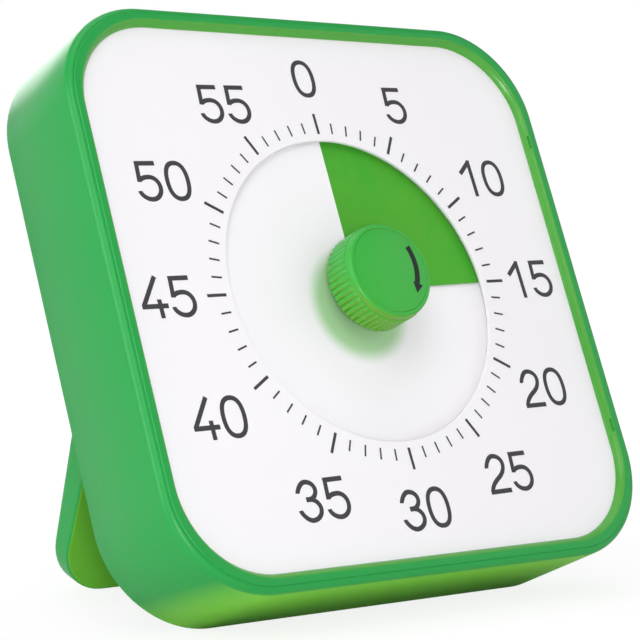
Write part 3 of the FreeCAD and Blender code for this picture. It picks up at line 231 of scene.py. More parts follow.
def white_sheet(name, colour, roughness, glow=None):
    """Coated polystyrene sheet: bright white, a trace of warmth, a fine satin tooth.

    With glow, the sheet takes a painted green-tinted shadow of the knob round its foot.
    """
    material, tree = new_material(name)
    place = object_millimetres(tree)
    tooth = add_node(tree, "ShaderNodeTexNoise", links={"Vector": place, "Scale": 3.0, "Detail": 2.0})
    bump = add_node(tree, "ShaderNodeBump",
                    links={"Height": tooth.outputs["Fac"], "Strength": 0.05, "Distance": 0.0001})
    drift = add_node(tree, "ShaderNodeTexNoise", links={"Vector": place, "Scale": 0.015, "Detail": 1.0})
    warm = (colour[0] * 0.985, colour[1] * 0.97, colour[2] * 0.99, 1.0)
    mixed = add_node(tree, "ShaderNodeMix", {"data_type": "RGBA"},
                     {"Factor": drift.outputs["Fac"], "A": colour, "B": warm})
    # Painted green-tinted shadow of the knob, put into the base colour.
    if glow:
        mixed = painted_knob_shadow(tree, place, mixed.outputs["Result"], glow)
    shader = add_node(tree, "ShaderNodeBsdfPrincipled", links={
        "Base Color": mixed.outputs["Result"], "Roughness": roughness, "IOR": 1.5,
        "Normal": bump.outputs["Normal"]})
    finish_material(tree, shader.outputs["BSDF"])
    return material


def painted_knob_shadow(tree, place, colour, glow):
    """Painted green-tinted shadow of the knob on the disc: strong round the knob's foot, gone 15.5 mm from
    its middle.
    """
    middle = DIAL @ Vector((-0.7, -3.4, -2.8)) * 1000.0
    reach = 15.5
    soft_edge = 0.3
    strongest = 0.8
    away = add_node(tree, "ShaderNodeVectorMath", {"operation": "SUBTRACT"}, {0: place, 1: middle})
    near = add_node(tree, "ShaderNodeVectorMath", {"operation": "SCALE"},
                    {0: away.outputs["Vector"], "Scale": 1 / reach})
    fade = add_node(tree, "ShaderNodeTexGradient", {"gradient_type": "SPHERICAL"},
                    {"Vector": near.outputs["Vector"]})
    share = add_node(tree, "ShaderNodeMapRange", {"interpolation_type": "SMOOTHSTEP"}, {
        "Value": fade.outputs["Fac"], "From Min": 0.0, "From Max": soft_edge,
        "To Max": strongest})
    return add_node(tree, "ShaderNodeMix", {"data_type": "RGBA"},
                    {"Factor": share.outputs["Result"], "A": colour, "B": glow})


# Colour, roughness, metallic, grain in bumps a millimetre and bump strength of each plain finish.
PLAIN_FINISHES = {
    # The numbers: matt warm black that lies flat on the sheet.
    "screen_print_ink": ("38353B", 0.6, 0.0, 4.0, 0.02),
    # The knob's arrow: a deeper black, matt as well.
    "arrow_print_ink": ("0E1816", 0.6, 0.0, 4.0, 0.02),
    # Tray, hub and spindle: plain light grey-white plastic.
    "white_moulded_abs": ("E4E4E2", 0.4),
    # Movement case, switch and buzzer: satin black.
    "black_moulded_abs": ("1B1C1D", 0.45),
    # Wheels: milky cream.
    "acetal_moulded": ("E8E2D0", 0.4),
    # The rotor's magnet: dull dark grey with a strong, fine grain.
    "ferrite_sintered": ("3A3B3D", 0.6, 0.0, 6.0, 0.3),
    # Screws, pins and plates: bright cool metal.
    "zinc_plated_steel": ("C3C5C8", 0.32, 1.0),
    # The winding: glossy red-brown metal.
    "enamelled_copper": ("B4683A", 0.3, 1.0),
    # The alarm's leaf: yellow-brown metal.
    "phosphor_bronze": ("C89B5A", 0.3, 1.0),
    # The circuit board: green with a slight unevenness.
    "glass_fibre_laminate": ("2F7A46", 0.4, 0.0, 2.5, 0.2),
    # The drop over the chip: glossy black.
    "cast_epoxy": ("17181A", 0.2),
    # The cell's sleeve: glossy dark grey.
    "printed_sleeve": ("3A3F46", 0.25),
    # Battery contacts: bright warm metal.
    "nickel_plated_steel": ("CFCBC0", 0.22, 1.0),
}


def finish_of(key):
    """The timer's finishes by name, each made once."""
    kept = bpy.data.materials.get(key)
    if kept:
        return kept
    if key in PLAIN_FINISHES:
        code, *values = PLAIN_FINISHES[key]
        return plain_finish(key, linear(code), *values)
    shell = (*colours().shell, 1.0)
    film = (*colours().film, 1.0)
    dial = (*colours().dial, 1.0)
    makers = {
        # The case: a clear mid green, a little deeper in clouds, and yellow-green painted floor light on
        # faces that look down.
        "green_moulded_abs": lambda: moulded_abs(key, shell, linear("219E46"), linear("84D63A")),
        # The rim's inner wall: painted bounce light from the white dial makes it yellower than the front; a
        # livelier gleam on its edge.
        "green_lip_painted_bounce_abs": lambda: moulded_abs(
            key, linear("50A438"), linear("449E36"), linear("74B830"), 0.28, gloss=0.4),
        # The leg's front: bright yellow-green, painted light that stands in for the light between leg and
        # case.
        "green_leg_painted_light_abs": lambda: moulded_abs(key, linear("72C236"), linear("66B832"), linear("72C236")),
        # The knob: smoother and brighter than the case, with painted shade in olive on the ribs below.
        "green_knob_abs": lambda: moulded_abs(
            key, linear("2FAC42"), linear("45AC3A"), linear("5FA524"), 0.3, (-0.1, -0.6)),
        # The film: flat leaf green with yellower clouds.
        "green_rolled_pvc": lambda: coloured_film(key, film, linear("5CAC32")),
        # The dial: near white with a trace of rose, and only a soft gleam.
        "white_coated_styrene": lambda: white_sheet(key, dial, 0.5),
        # The disc in the window: as white as the dial, with a painted green-tinted shadow round the knob's
        # foot.
        "white_disc_styrene": lambda: white_sheet(key, linear("F7F5F7"), 0.45, glow=linear("8CCB7C")),
    }
    return makers[key]()


NODE_FINISHES = {
    "green_moulded_abs": ["front_housing", "back_cover", "battery_door", "leg_shell", "leg_plate"],
    "green_knob_abs": ["knob", "knob_cap"],
    "green_rolled_pvc": ["timer_film"],
    "white_coated_styrene": ["dial_panel"],
    "white_disc_styrene": ["white_shutter"],
    "white_moulded_abs": ["dial_carrier", "film_hub", "spindle"],
    "black_moulded_abs": ["movement_front", "movement_rear", "switch_body", "switch_slider",
                          "coil_bobbin", "buzzer"],
    "acetal_moulded": ["centre_wheel", "third_wheel", "second_wheel", "alarm_cam"],
    "ferrite_sintered": ["rotor"],
    "zinc_plated_steel": ["stator", "coil_core", "clutch_washer", "quartz_crystal", "hinge_pins",
                          "case_screws", "movement_screws"],
    "enamelled_copper": ["coil_winding"],
    "phosphor_bronze": ["alarm_contact"],
    "glass_fibre_laminate": ["circuit_board"],
    "cast_epoxy": ["driver_chip"],
    "printed_sleeve": ["battery_cell"],
    "nickel_plated_steel": ["battery_button", "contact_plate", "contact_spring"],
}


# Mesh helpers

def square_outline(half, radius, z):
    """Square outline for stack_outlines, as (half width, low y, high y, lower and upper radius, z)."""
    return half, -half, half, radius, radius, z


def rounded_outline(bm, outline, segments):
    """Closed ring of edges with rounded corners, made from an outline; returns its edges."""
    half, low, high, low_radius, high_radius, z = outline
    lower = [bm.verts.new((x, low, z)) for x in (-half, half)]
    upper = [bm.verts.new((x, high, z)) for x in (half, -half)]
    verts = lower + upper
    for number in range(4):
        bm.edges.new((verts[number], verts[(number + 1) % 4]))
    for corners, radius in ((lower, low_radius), (upper, high_radius)):
        made = bmesh.ops.bevel(bm, geom=corners, offset=radius, offset_type="OFFSET", segments=segments,
                               profile=0.5, affect="VERTICES", material=-1)
    return joined_edges(made["verts"][0])


def joined_edges(vert):
    """All edges that hang together with a vertex."""
    found = set()
    waiting = list(vert.link_edges)
    while waiting:
        edge = waiting.pop()
        if edge not in found:
            found.add(edge)
            waiting += [other for end in edge.verts for other in end.link_edges]
    return list(found)


def corner_of(outline, side):
    """Centre and radius of an outline's corner on a side, as (sign of x, sign of y)."""
    half, low, high, low_radius, high_radius, z = outline
    if side[1] < 0:
        return Vector((side[0] * (half - low_radius), low + low_radius, z)), low_radius
    return Vector((side[0] * (half - high_radius), high - high_radius, z)), high_radius


def stack_outlines(bm, outlines, segments):
    """Walls through a row of outlines, each extruded from the one before; returns both end rings."""
    first = rounded_outline(bm, outlines[0], segments)
    middle = (outlines[0][1] + outlines[0][2]) / 2
    sides = {vert: (math.copysign(1, vert.co.x), math.copysign(1, vert.co.y - middle))
             for edge in first for vert in edge.verts}
    edges = first
    for before, after in zip(outlines, outlines[1:]):
        made = bmesh.ops.extrude_edge_only(bm, edges=edges)
        verts = {item for item in made["geom"] if isinstance(item, bmesh.types.BMVert)}
        edges = [item for item in made["geom"]
                 if isinstance(item, bmesh.types.BMEdge) and verts.issuperset(item.verts)]
        for vert in verts:
            ends = (edge.other_vert(vert) for edge in vert.link_edges)
            sides[vert] = next(sides[end] for end in ends if end not in verts)
            old_centre, old_radius = corner_of(before, sides[vert])
            new_centre, new_radius = corner_of(after, sides[vert])
            vert.co = new_centre + (vert.co - old_centre) * (new_radius / old_radius)
    return first, edges


def circle_ring(bm, radius, z, segments):
    """Circle of edges at height z; returns its edges."""
    made = bmesh.ops.create_circle(bm, cap_ends=False, radius=radius, segments=segments)
    bmesh.ops.translate(bm, verts=made["verts"], vec=(0.0, 0.0, z))
    return list({edge for vert in made["verts"] for edge in vert.link_edges})


def bridge_rings(bm, rings):
    """Walls between each ring and the next."""
    for one, other in zip(rings, rings[1:]):
        bmesh.ops.bridge_loops(bm, edges=one + other)


def cap_ring(bm, edges):
    bmesh.ops.contextual_create(bm, geom=edges)


def mesh_piece(name, bm, place, finish, body, sharp=35.0, replaces=()):
    """Turn a bmesh into a piece in its place that rides on a body."""
    bmesh.ops.recalc_face_normals(bm, faces=bm.faces)
    mesh = bpy.data.meshes.new(name)
    bm.to_mesh(mesh)
    bm.free()
    mesh.transform(place)
    for polygon in mesh.polygons:
        polygon.use_smooth = True
    mesh.set_sharp_from_angle(angle=math.radians(sharp))
    piece = bpy.data.objects.new(name, mesh)
    bpy.context.scene.collection.objects.link(piece)
    piece.data.materials.append(finish_of(finish))
    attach(piece, body)
    if replaces:
        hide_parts(*replaces)
    return piece


def round_steps(radius, steps):
    """Points of a quarter round from its side to its top, as (inset, drop) from the corner."""
    points = []
    for step in range(steps + 1):
        turn = math.pi / 2 * step / steps
        points.append((radius * (1 - math.cos(turn)), radius * (1 - math.sin(turn))))
    return points


def subtract(piece, tool):
    """Cut tool's mesh out of piece and remove the tool."""
    cutter = piece.modifiers.new("cut", "BOOLEAN")
    cutter.operation = "DIFFERENCE"
    cutter.solver = "EXACT"
    cutter.object = tool
    depsgraph = bpy.context.evaluated_depsgraph_get()
    mesh = bpy.data.meshes.new_from_object(piece.evaluated_get(depsgraph))
    piece.modifiers.clear()
    old = piece.data
    piece.data = mesh
    bpy.data.meshes.remove(old)
    bpy.data.objects.remove(tool)


def box_tool(boxes, place):
    """One mesh of several boxes, each (x0, x1, y0, y1, z0, z1), for cutting."""
    bm = bmesh.new()
    for x0, x1, y0, y1, z0, z1 in boxes:
        middle = Matrix.Translation(((x0 + x1) / 2, (y0 + y1) / 2, (z0 + z1) / 2))
        size = Matrix.Diagonal((x1 - x0, y1 - y0, z1 - z0, 1.0))
        bmesh.ops.create_cube(bm, size=1.0, matrix=middle @ size)
    mesh = bpy.data.meshes.new("cutter")
    bm.to_mesh(mesh)
    bm.free()
    mesh.transform(place)
    tool = bpy.data.objects.new("cutter", mesh)
    bpy.context.scene.collection.objects.link(tool)
    return tool


class TIMER_OT_dress_frame(bpy.types.Operator):
    """Give every piece that comes from the CAD model its finish"""
    bl_idname = "timer.dress_frame"
    bl_label = "Dress the frame"

    def execute(self, context):
        for finish, names in NODE_FINISHES.items():
            for name in names:
                slots = frame["nodes"][name].data.materials
                slots.clear()
                slots.append(finish_of(finish))
        return {"FINISHED"}


class TIMER_OT_housing(bpy.types.Operator):
    """Green housing: four walls, rounded rim and the lip that frames the dial"""
    bl_idname = "timer.housing"
    bl_label = "Housing"

    corner_steps: IntProperty(name="Corner steps", description="Segments in each corner", default=24,
                              min=4)
    notch_offset: FloatProperty(name="Notch offset", description="Notches above and below the middle",
                                default=38.5)
    notch_length: FloatProperty(name="Notch length", description="Length of each notch", default=3.4)

    def execute(self, context):
        s = sizes()
        outlines = [square_outline(s.body / 2 - inset, s.corner - inset, z)
                    for inset, z in self.outside(s)]
        outlines += self.inside(s)
        bm = bmesh.new()
        stack_outlines(bm, outlines + outlines[:1], self.corner_steps)
        bmesh.ops.remove_doubles(bm, verts=bm.verts, dist=0.0001)
        piece = mesh_piece("housing_shell", bm, DIAL, "green_moulded_abs", "housing",
                           replaces=("front_housing",))
        subtract(piece, box_tool(self.notches(s), DIAL))
        piece.data.set_sharp_from_angle(angle=math.radians(35.0))
        # The lip's second finish is painted bounce light from the white dial.
        piece.data.materials.append(finish_of("green_lip_painted_bounce_abs"))
        self.paint_lip_bounce_light(piece, s)
        return {"FINISHED"}

    def notches(self, s):
        """Boxes of the two shallow notches in the right-hand lip."""
        floor = 1.45
        above = 3.0
        reach = self.notch_length / 2
        return [(s.lip - 1.0, s.lip + 1.25, offset - reach, offset + reach, floor, above)
                for offset in (-self.notch_offset, self.notch_offset)]

    def outside(self, s):
        """Profile up the side, over the outer round and onto the front's small bead, as (inset, z)."""
        back = s.rim_front - s.depth
        rear_round = 0.6
        rear_middle = 0.22
        bead = 0.28
        crease = 0.08
        points = [(rear_round, back), (rear_middle, back + rear_middle), (0.0, back + rear_round)]
        for inset, drop in round_steps(1.0, 8):
            points.append((s.edge_width * inset,
                           s.rim_front - bead - (s.edge_depth - bead) * drop))
        points.append((s.edge_width + 0.05, s.rim_front - bead - crease / 2))
        for inset, drop in round_steps(bead, 4):
            points.append((s.edge_width + crease + inset, s.rim_front - drop))
        return points

    def inside(self, s):
        """Outlines of the lip's small edge, its slanted wall down to the dial and the inner wall."""
        edge = 0.4
        over_dial = 0.04
        profile = [(s.lip_slope + inset, s.rim_front - drop)
                   for inset, drop in reversed(round_steps(edge, 4))]
        profile += [(s.lip_slope - 0.1, s.rim_front - 0.45), (0.3, 0.75), (0.08, 0.4), (0.0, 0.2)]
        outlines = [square_outline(s.lip + inset, s.lip_corner + inset, z) for inset, z in profile]
        wall = s.body / 2 - s.wall
        radius = s.corner - s.wall
        outlines.append(square_outline(s.lip, s.lip_corner, over_dial))
        outlines.append(square_outline(wall, radius, over_dial))
        outlines.append(square_outline(wall, radius, s.rim_front - s.depth))
        return outlines

    def paint_lip_bounce_light(self, piece, s):
        """Give the lip's wall and small edge their own finish, which is yellower than the outside: painted
        bounce light from the white dial.
        """
        margin = 0.5
        facing_middle = 9.0
        to_dial = DIAL.inverted()
        turn = to_dial.to_3x3().normalized()
        for polygon in piece.data.polygons:
            centre = to_dial @ polygon.center
            normal = turn @ polygon.normal
            inwards = -(normal.x * centre.x + normal.y * centre.y)
            on_lip = max(abs(centre.x), abs(centre.y)) < s.lip + s.lip_slope + margin and centre.z > 0.02
            if on_lip and inwards > facing_middle:
                polygon.material_index = 1


class TIMER_OT_dial(bpy.types.Operator):
    """White dial sheet with its round window"""
    bl_idname = "timer.dial"
    bl_label = "Dial sheet"

    def execute(self, context):
        s = sizes()
        gap = 0.3
        thick = 0.8
        edge = 0.12
        corner_steps = 40
        half = s.body / 2 - s.wall - gap
        radius = s.corner - s.wall - gap
        bm = bmesh.new()
        window = [(s.window + edge, 0.0), (s.window, -edge), (s.window, -thick)]
        outlines = [square_outline(half, radius, -thick), square_outline(half, radius, 0.0)]
        outlines += [square_outline(round_half, round_half, z) for round_half, z in window]
        stack_outlines(bm, outlines + outlines[:1], corner_steps)
        bmesh.ops.remove_doubles(bm, verts=bm.verts, dist=0.0001)
        mesh_piece("dial_sheet", bm, DIAL, "white_coated_styrene", "housing", sharp=25.0,
                   replaces=("dial_panel",))
        return {"FINISHED"}


def screw_sheet(inner, outer, thickness, start_angle, start_z, pitch, steps):
    """Thin sheet of one turn, clockwise from start_angle, that climbs by pitch."""
    bm = bmesh.new()
    gap = 0.5
    turn = math.radians(90 - start_angle - gap / 2)
    along = Vector((math.cos(turn), math.sin(turn), 0.0))
    corners = []
    for radius, rise in ((inner, -0.5), (outer, -0.5), (outer, 0.5), (inner, 0.5)):
        corners.append(bm.verts.new(along * radius + Vector((0, 0, start_z + rise * thickness))))
    face = bm.faces.new(corners)
    bmesh.ops.spin(bm, geom=[face], cent=(0, 0, 0), axis=(0, 0, 1), dvec=(0, 0, pitch / steps),
                   angle=-math.radians(360 - gap), steps=steps, use_merge=False)
    return bm


class TIMER_OT_film(bpy.types.Operator):
    """White disc, slit at 0, and the green film that comes out of it"""
    bl_idname = "timer.film"
    bl_label = "Disc and film"

    steps: IntProperty(name="Steps", description="Segments in one turn", default=180, min=36)

    def execute(self, context):
        s = sizes()
        shutter_z = -2.95
        disc_hole, disc_edge, disc_thick = 6.6, 39.55, 0.3
        hub, film_thick = 4.6, 0.25
        disc = screw_sheet(disc_hole, disc_edge, disc_thick, 0.0, shutter_z, s.pitch, self.steps)
        mesh_piece("white_disc", disc, DIAL, "white_disc_styrene", "housing", 20.0,
                   ("white_shutter",))
        film_z = shutter_z + s.pitch / 2 + s.pitch * (s.shown - 360) / 360
        film = screw_sheet(hub, s.film, film_thick, s.shown, film_z, s.pitch, self.steps)
        mesh_piece("green_film_sheet", film, DIAL, "green_rolled_pvc", "film", 20.0,
                   ("timer_film",))
        return {"FINISHED"}


KNOB_FRONT = 11.3
KNOB_REAR = 2.3
CAP_TOP = 11.24


class TIMER_OT_knob(bpy.types.Operator):
    """Ribbed knob with a smooth band, its let-in cap and the printed arrow"""
    bl_idname = "timer.knob"
    bl_label = "Knob"

    def execute(self, context):
        s = sizes()
        self.barrel(s)
        self.cap()
        self.arrow()
        return {"FINISHED"}

    def barrel(self, s):
        """Ribbed wall, smooth band, recess for the cap and, inside, the room round the boss."""
        front_round = 0.9
        recess, recess_floor = 10.5, KNOB_FRONT - 1.35
        wall_inside, room_end = 10.1, 7.5
        boss, boss_end = 4.4, -0.4
        shaft_hole, hole_end = 2.7, 7.0
        band_rear = KNOB_FRONT - 1.9
        band = s.knob - 0.3
        per_rib = 6
        count = s.ribs * per_rib
        bm = bmesh.new()
        levels = [(band, KNOB_REAR, True), (s.knob, KNOB_REAR + 0.3, True),
                  (s.knob, band_rear - 0.35, True), (band - 0.05, band_rear, False),
                  (band, band_rear + 0.2, False)]
        for inset, drop in round_steps(front_round, 6):
            levels.append((band - inset, KNOB_FRONT - drop, False))
        levels += [(recess + 0.05, KNOB_FRONT - 0.02, False), (recess, KNOB_FRONT - 0.1, False),
                   (recess, recess_floor, False), (0.5, recess_floor, False)]
        rings = []
        for radius, z, ribbed in levels:
            edges = circle_ring(bm, radius, z, count)
            rings.append(edges)
            if ribbed:
                self.press_ribs(edges, per_rib, radius)
        inner = [(wall_inside, KNOB_REAR), (wall_inside, room_end), (boss, room_end), (boss, boss_end),
                 (shaft_hole, boss_end), (shaft_hole, hole_end)]
        inside = [circle_ring(bm, radius, z, count) for radius, z in inner]
        bridge_rings(bm, list(reversed(rings)) + inside)
        for loose in (rings[-1], inside[-1]):
            cap_ring(bm, loose)
        mesh_piece("knob_barrel", bm, DIAL, "green_knob_abs", "knob", 38.0, ("knob",))

    def press_ribs(self, edges, per_rib, radius):
        """Sink the grooves between the ribs into the ring: a flat tip, then a rounded V."""
        groove = 0.34
        verts = {vert for edge in edges for vert in edge.verts}
        step = 2 * math.pi / (len(verts) / per_rib)
        for vert in verts:
            share = (math.atan2(vert.co.y, vert.co.x) / step) % 1.0
            reach = max(0.0, abs(share - 0.5) * 2 - 0.5) / 0.5
            depth = groove * (1 - math.cos(math.pi * reach)) / 2
            scale = (radius - depth) / radius
            vert.co.x *= scale
            vert.co.y *= scale

    def cap(self):
        """Flat cap that all but fills the recess."""
        radius = 10.46
        thick = 1.2
        edge = 0.08
        steps = 128
        bm = bmesh.new()
        levels = [(radius - 0.06, CAP_TOP - thick), (radius, CAP_TOP - 0.1)]
        for inset, drop in round_steps(edge, 2):
            levels.append((radius - inset, CAP_TOP - drop))
        rings = [circle_ring(bm, ring_radius, z, steps) for ring_radius, z in levels]
        bridge_rings(bm, rings)
        cap_ring(bm, rings[0])
        cap_ring(bm, rings[-1])
        mesh_piece("knob_face", bm, DIAL, "green_knob_abs", "knob", 40.0, ("knob_cap",))

    def arrow(self):
        """Curved arrow: an arc with a head at its lower end."""
        centre = Vector((-3.2, 1.1, 0.0))
        arc_r = 11.0
        width = 1.45
        start = math.radians(25.0)
        sweep = math.radians(49)
        tip = ((5.75, -2.95), (8.35, -4.05), (6.1, -5.9))
        ink_top = CAP_TOP + 0.02
        ink = 0.03
        bm = bmesh.new()
        along = Vector((math.cos(start), math.sin(start), 0))
        ends = [bm.verts.new(centre + along * radius) for radius in (arc_r - width / 2, arc_r + width / 2)]
        edge = bm.edges.new(ends)
        bmesh.ops.spin(bm, geom=[edge], cent=centre, axis=(0, 0, 1), angle=-sweep, steps=18,
                       use_merge=False)
        bm.faces.new([bm.verts.new((x, y, 0.0)) for x, y in tip])
        bmesh.ops.translate(bm, verts=bm.verts, vec=(0, 0, ink_top))
        made = bmesh.ops.extrude_face_region(bm, geom=bm.faces[:])
        moved = [item for item in made["geom"] if isinstance(item, bmesh.types.BMVert)]
        bmesh.ops.translate(bm, verts=moved, vec=(0, 0, -ink))
        mesh_piece("knob_arrow", bm, DIAL, "arrow_print_ink", "knob", 30.0)


# Each digit is a set of strokes round its middle (0, 0), in millimetres. A stroke is a list of
# (x, y, tangent x, tangent y), and straight strokes have no tangents.
DIGITS = {
    "0": [[(0, 4.42, 1.85, 0), (2.82, 0, 0, -2.9), (0, -4.42, -1.85, 0), (-2.82, 0, 0, 2.9),
           (0, 4.42, 1.85, 0)]],
    "1": [[(0.92, 5.0), (0.92, -4.85)], [(0.75, 4.3), (-2.65, 1.35)]],
    "2": [[(-2.72, 1.62, 0, 0.4), (-0.05, 4.42, 1.5, 0), (2.62, 2.25, 0, -1.3), (0.3, -0.95, -1.3, -0.75),
           (-2.75, -4.25, -0.1, -1.3)], [(-3.35, -4.27), (3.25, -4.27)]],
    "3": [[(-2.6, 2.0, 0.05, 0.4), (0.0, 4.42, 1.4, 0), (2.42, 2.45, 0, -1.1), (0.35, 0.4, -1.0, 0),
           (-0.7, 0.4, -0.3, 0)],
          [(-0.6, 0.36, 0.5, 0), (0.4, 0.36, 1.0, 0), (2.78, -1.95, 0, -1.35), (-0.1, -4.42, -1.55, 0),
           (-2.95, -1.9, -0.05, 0.6)]],
    "4": [[(1.72, 5.0), (-2.8, -1.75)], [(-3.35, -2.0), (3.6, -2.0)], [(1.5, -0.4), (1.5, -4.85)]],
    "5": [[(-2.75, 4.38), (2.65, 4.38)], [(-2.12, 4.9), (-2.5, -0.15)],
          [(-2.5, 0.1, 0.5, 0.5), (0.2, 1.02, 1.5, 0), (2.78, -1.6, 0, -1.5), (-0.05, -4.42, -1.6, 0),
           (-2.92, -2.35, -0.05, 0.9)]],
}
# Middle of each number on the dial, in millimetres.
NUMBER_PLACES = {
    "0": (0.05, 54.3), "5": (26.6, 47.5), "10": (48.35, 27.6), "15": (54.3, 0.0), "20": (47.8, -28.4),
    "25": (28.5, -48.5), "30": (0.0, -54.5), "35": (-28.4, -49.3), "40": (-50.4, -28.4),
    "45": (-55.6, 0.15), "50": (-48.65, 27.9), "55": (-25.8, 47.2),
}


def stroke_spline(curve, stroke, offset):
    """Add one stroke of a digit to the curve, moved by offset."""
    spline = curve.splines.new("BEZIER")
    spline.bezier_points.add(len(stroke) - 1)
    for point, values in zip(spline.bezier_points, stroke):
        place = Vector((values[0] + offset[0], values[1] + offset[1], 0.0))
        point.co = place
        if len(values) == 4:
            pull = Vector((values[2], values[3], 0.0))
            point.handle_left_type = point.handle_right_type = "FREE"
            point.handle_left = place - pull
            point.handle_right = place + pull
        else:
            point.handle_left_type = point.handle_right_type = "VECTOR"
    spline.resolution_u = 12


class TIMER_OT_print(bpy.types.Operator):
    """Printed numbers and minute marks of the dial"""
    bl_idname = "timer.print"
    bl_label = "Dial print"

    turn: FloatProperty(name="Turn", description="Turn of the print on the sheet, in degrees", default=1.4)
    stroke: FloatProperty(name="Stroke", description="Width of the digits' strokes", default=1.14, min=0.2)
    digit_pitch: FloatProperty(name="Digit pitch", description="Distance between two digits", default=7.9)

    def execute(self, context):
        turned = DIAL @ Matrix.Rotation(math.radians(self.turn), 4, "Z")
        bm = bmesh.new()
        bm.from_mesh(self.numbers())
        self.ticks(bm)
        mesh_piece("dial_print", bm, turned, "screen_print_ink", "housing", 60.0)
        return {"FINISHED"}

    def numbers(self):
        """Mesh of all digits: round strokes pressed flat."""
        lift = 0.012
        half_ink = 0.02
        curve = bpy.data.curves.new("numbers", "CURVE")
        curve.dimensions = "3D"
        curve.bevel_depth = self.stroke / 2
        curve.bevel_resolution = 0
        curve.use_fill_caps = True
        for text, (x, y) in NUMBER_PLACES.items():
            for number, digit in enumerate(text):
                shift = (number - (len(text) - 1) / 2) * self.digit_pitch
                for stroke in DIGITS[digit]:
                    stroke_spline(curve, stroke, (x + shift, y))
        drawn = bpy.data.objects.new("numbers", curve)
        bpy.context.scene.collection.objects.link(drawn)
        depsgraph = bpy.context.evaluated_depsgraph_get()
        mesh = bpy.data.meshes.new_from_object(drawn.evaluated_get(depsgraph))
        bpy.data.objects.remove(drawn)
        flat = half_ink / (self.stroke / 2)
        mesh.transform(Matrix.Translation((0, 0, lift)) @ Matrix.Diagonal((1, 1, flat, 1)))
        return mesh

    def ticks(self, bm):
        """Sixty minute marks, each fifth one longer and bolder, as (inner, outer, width)."""
        five_minutes = (39.7, 45.0, 0.75)
        one_minute = (39.9, 42.7, 0.45)
        lift = 0.012
        ink = 0.03
        for minute in range(60):
            inner, outer, width = one_minute if minute % 5 else five_minutes
            middle = Matrix.Translation((0, (inner + outer) / 2, lift))
            size = Matrix.Diagonal((width, outer - inner, ink, 1))
            turn = Matrix.Rotation(-math.radians(6 * minute), 4, "Z")
            bmesh.ops.create_cube(bm, size=1.0, matrix=turn @ middle @ size)


class TIMER_OT_leg(bpy.types.Operator):
    """Wide leg: one smooth tapered slab with a round heel at its hinge"""
    bl_idname = "timer.leg"
    bl_label = "Leg"

    half: FloatProperty(name="Half width", description="Half of the leg's width", default=48.97)
    length: FloatProperty(name="Length", description="Hinge to foot", default=93.33)
    rear: FloatProperty(name="Rear", description="Rear face behind the hinge axis", default=3.67)
    front: FloatProperty(name="Front", description="Front face before the hinge axis", default=4.47)
    foot: FloatProperty(name="Foot", description="Front face at the foot", default=1.87)
    taper: FloatProperty(name="Taper", description="Length of the tapered end", default=32.0)
    heel: FloatProperty(name="Heel", description="Radius of the round end at the hinge", default=4.82)
    foot_corner: FloatProperty(name="Foot corner", description="Radius of the foot's corners", default=12.6)
    top_corner: FloatProperty(name="Top corner", description="Radius of the corners at the hinge",
                              default=2.0)

    def execute(self, context):
        front_round = 0.9
        heel_height = 1.8
        corner_steps = 10
        front_facing = 0.8
        bm = bmesh.new()
        levels = [(0.8, -self.rear), (0.36, -self.rear + 0.22), (0.0, -self.rear + 0.9),
                  (0.0, -heel_height), (0.0, 0.0), (0.0, heel_height), (0.0, self.front - 1.1)]
        for inset, drop in round_steps(front_round, 5):
            levels.append((inset, self.front - drop))
        for ring in stack_outlines(bm, [self.level(inset, z) for inset, z in levels], corner_steps):
            cap_ring(bm, ring)
        self.thin_foot(bm)
        piece = mesh_piece("leg_slab", bm, LEG, "green_moulded_abs", "leg",
                           replaces=("leg_shell", "leg_plate"))
        piece.data.materials.append(finish_of("green_leg_painted_light_abs"))
        # Forward faces take the leg's painted light, a bright copy of the case green.
        forward = (LEG.to_3x3() @ Vector((0.0, 0.0, 1.0))).normalized()
        for polygon in piece.data.polygons:
            if polygon.normal.dot(forward) > front_facing:
                polygon.material_index = 1
        return {"FINISHED"}

    def level(self, inset, z):
        """Outline of the leg at height z, whose top follows the round heel."""
        top = math.sqrt(self.heel ** 2 - z ** 2)
        return (self.half - inset, inset - self.length, top - inset, self.foot_corner - inset,
                self.top_corner, z)

    def thin_foot(self, bm):
        """Cut a row of edges where the taper starts and lower the front beyond it."""
        start = self.taper - self.length
        bmesh.ops.bisect_plane(bm, geom=bm.verts[:] + bm.edges[:] + bm.faces[:], plane_co=(0, start, 0),
                               plane_no=(0, 1, 0))
        for vert in bm.verts:
            beyond = max(0.0, start - vert.co.y) / self.taper
            height = (vert.co.z + self.rear) / (self.front + self.rear)
            vert.co.z -= height * beyond * (self.front - self.foot)


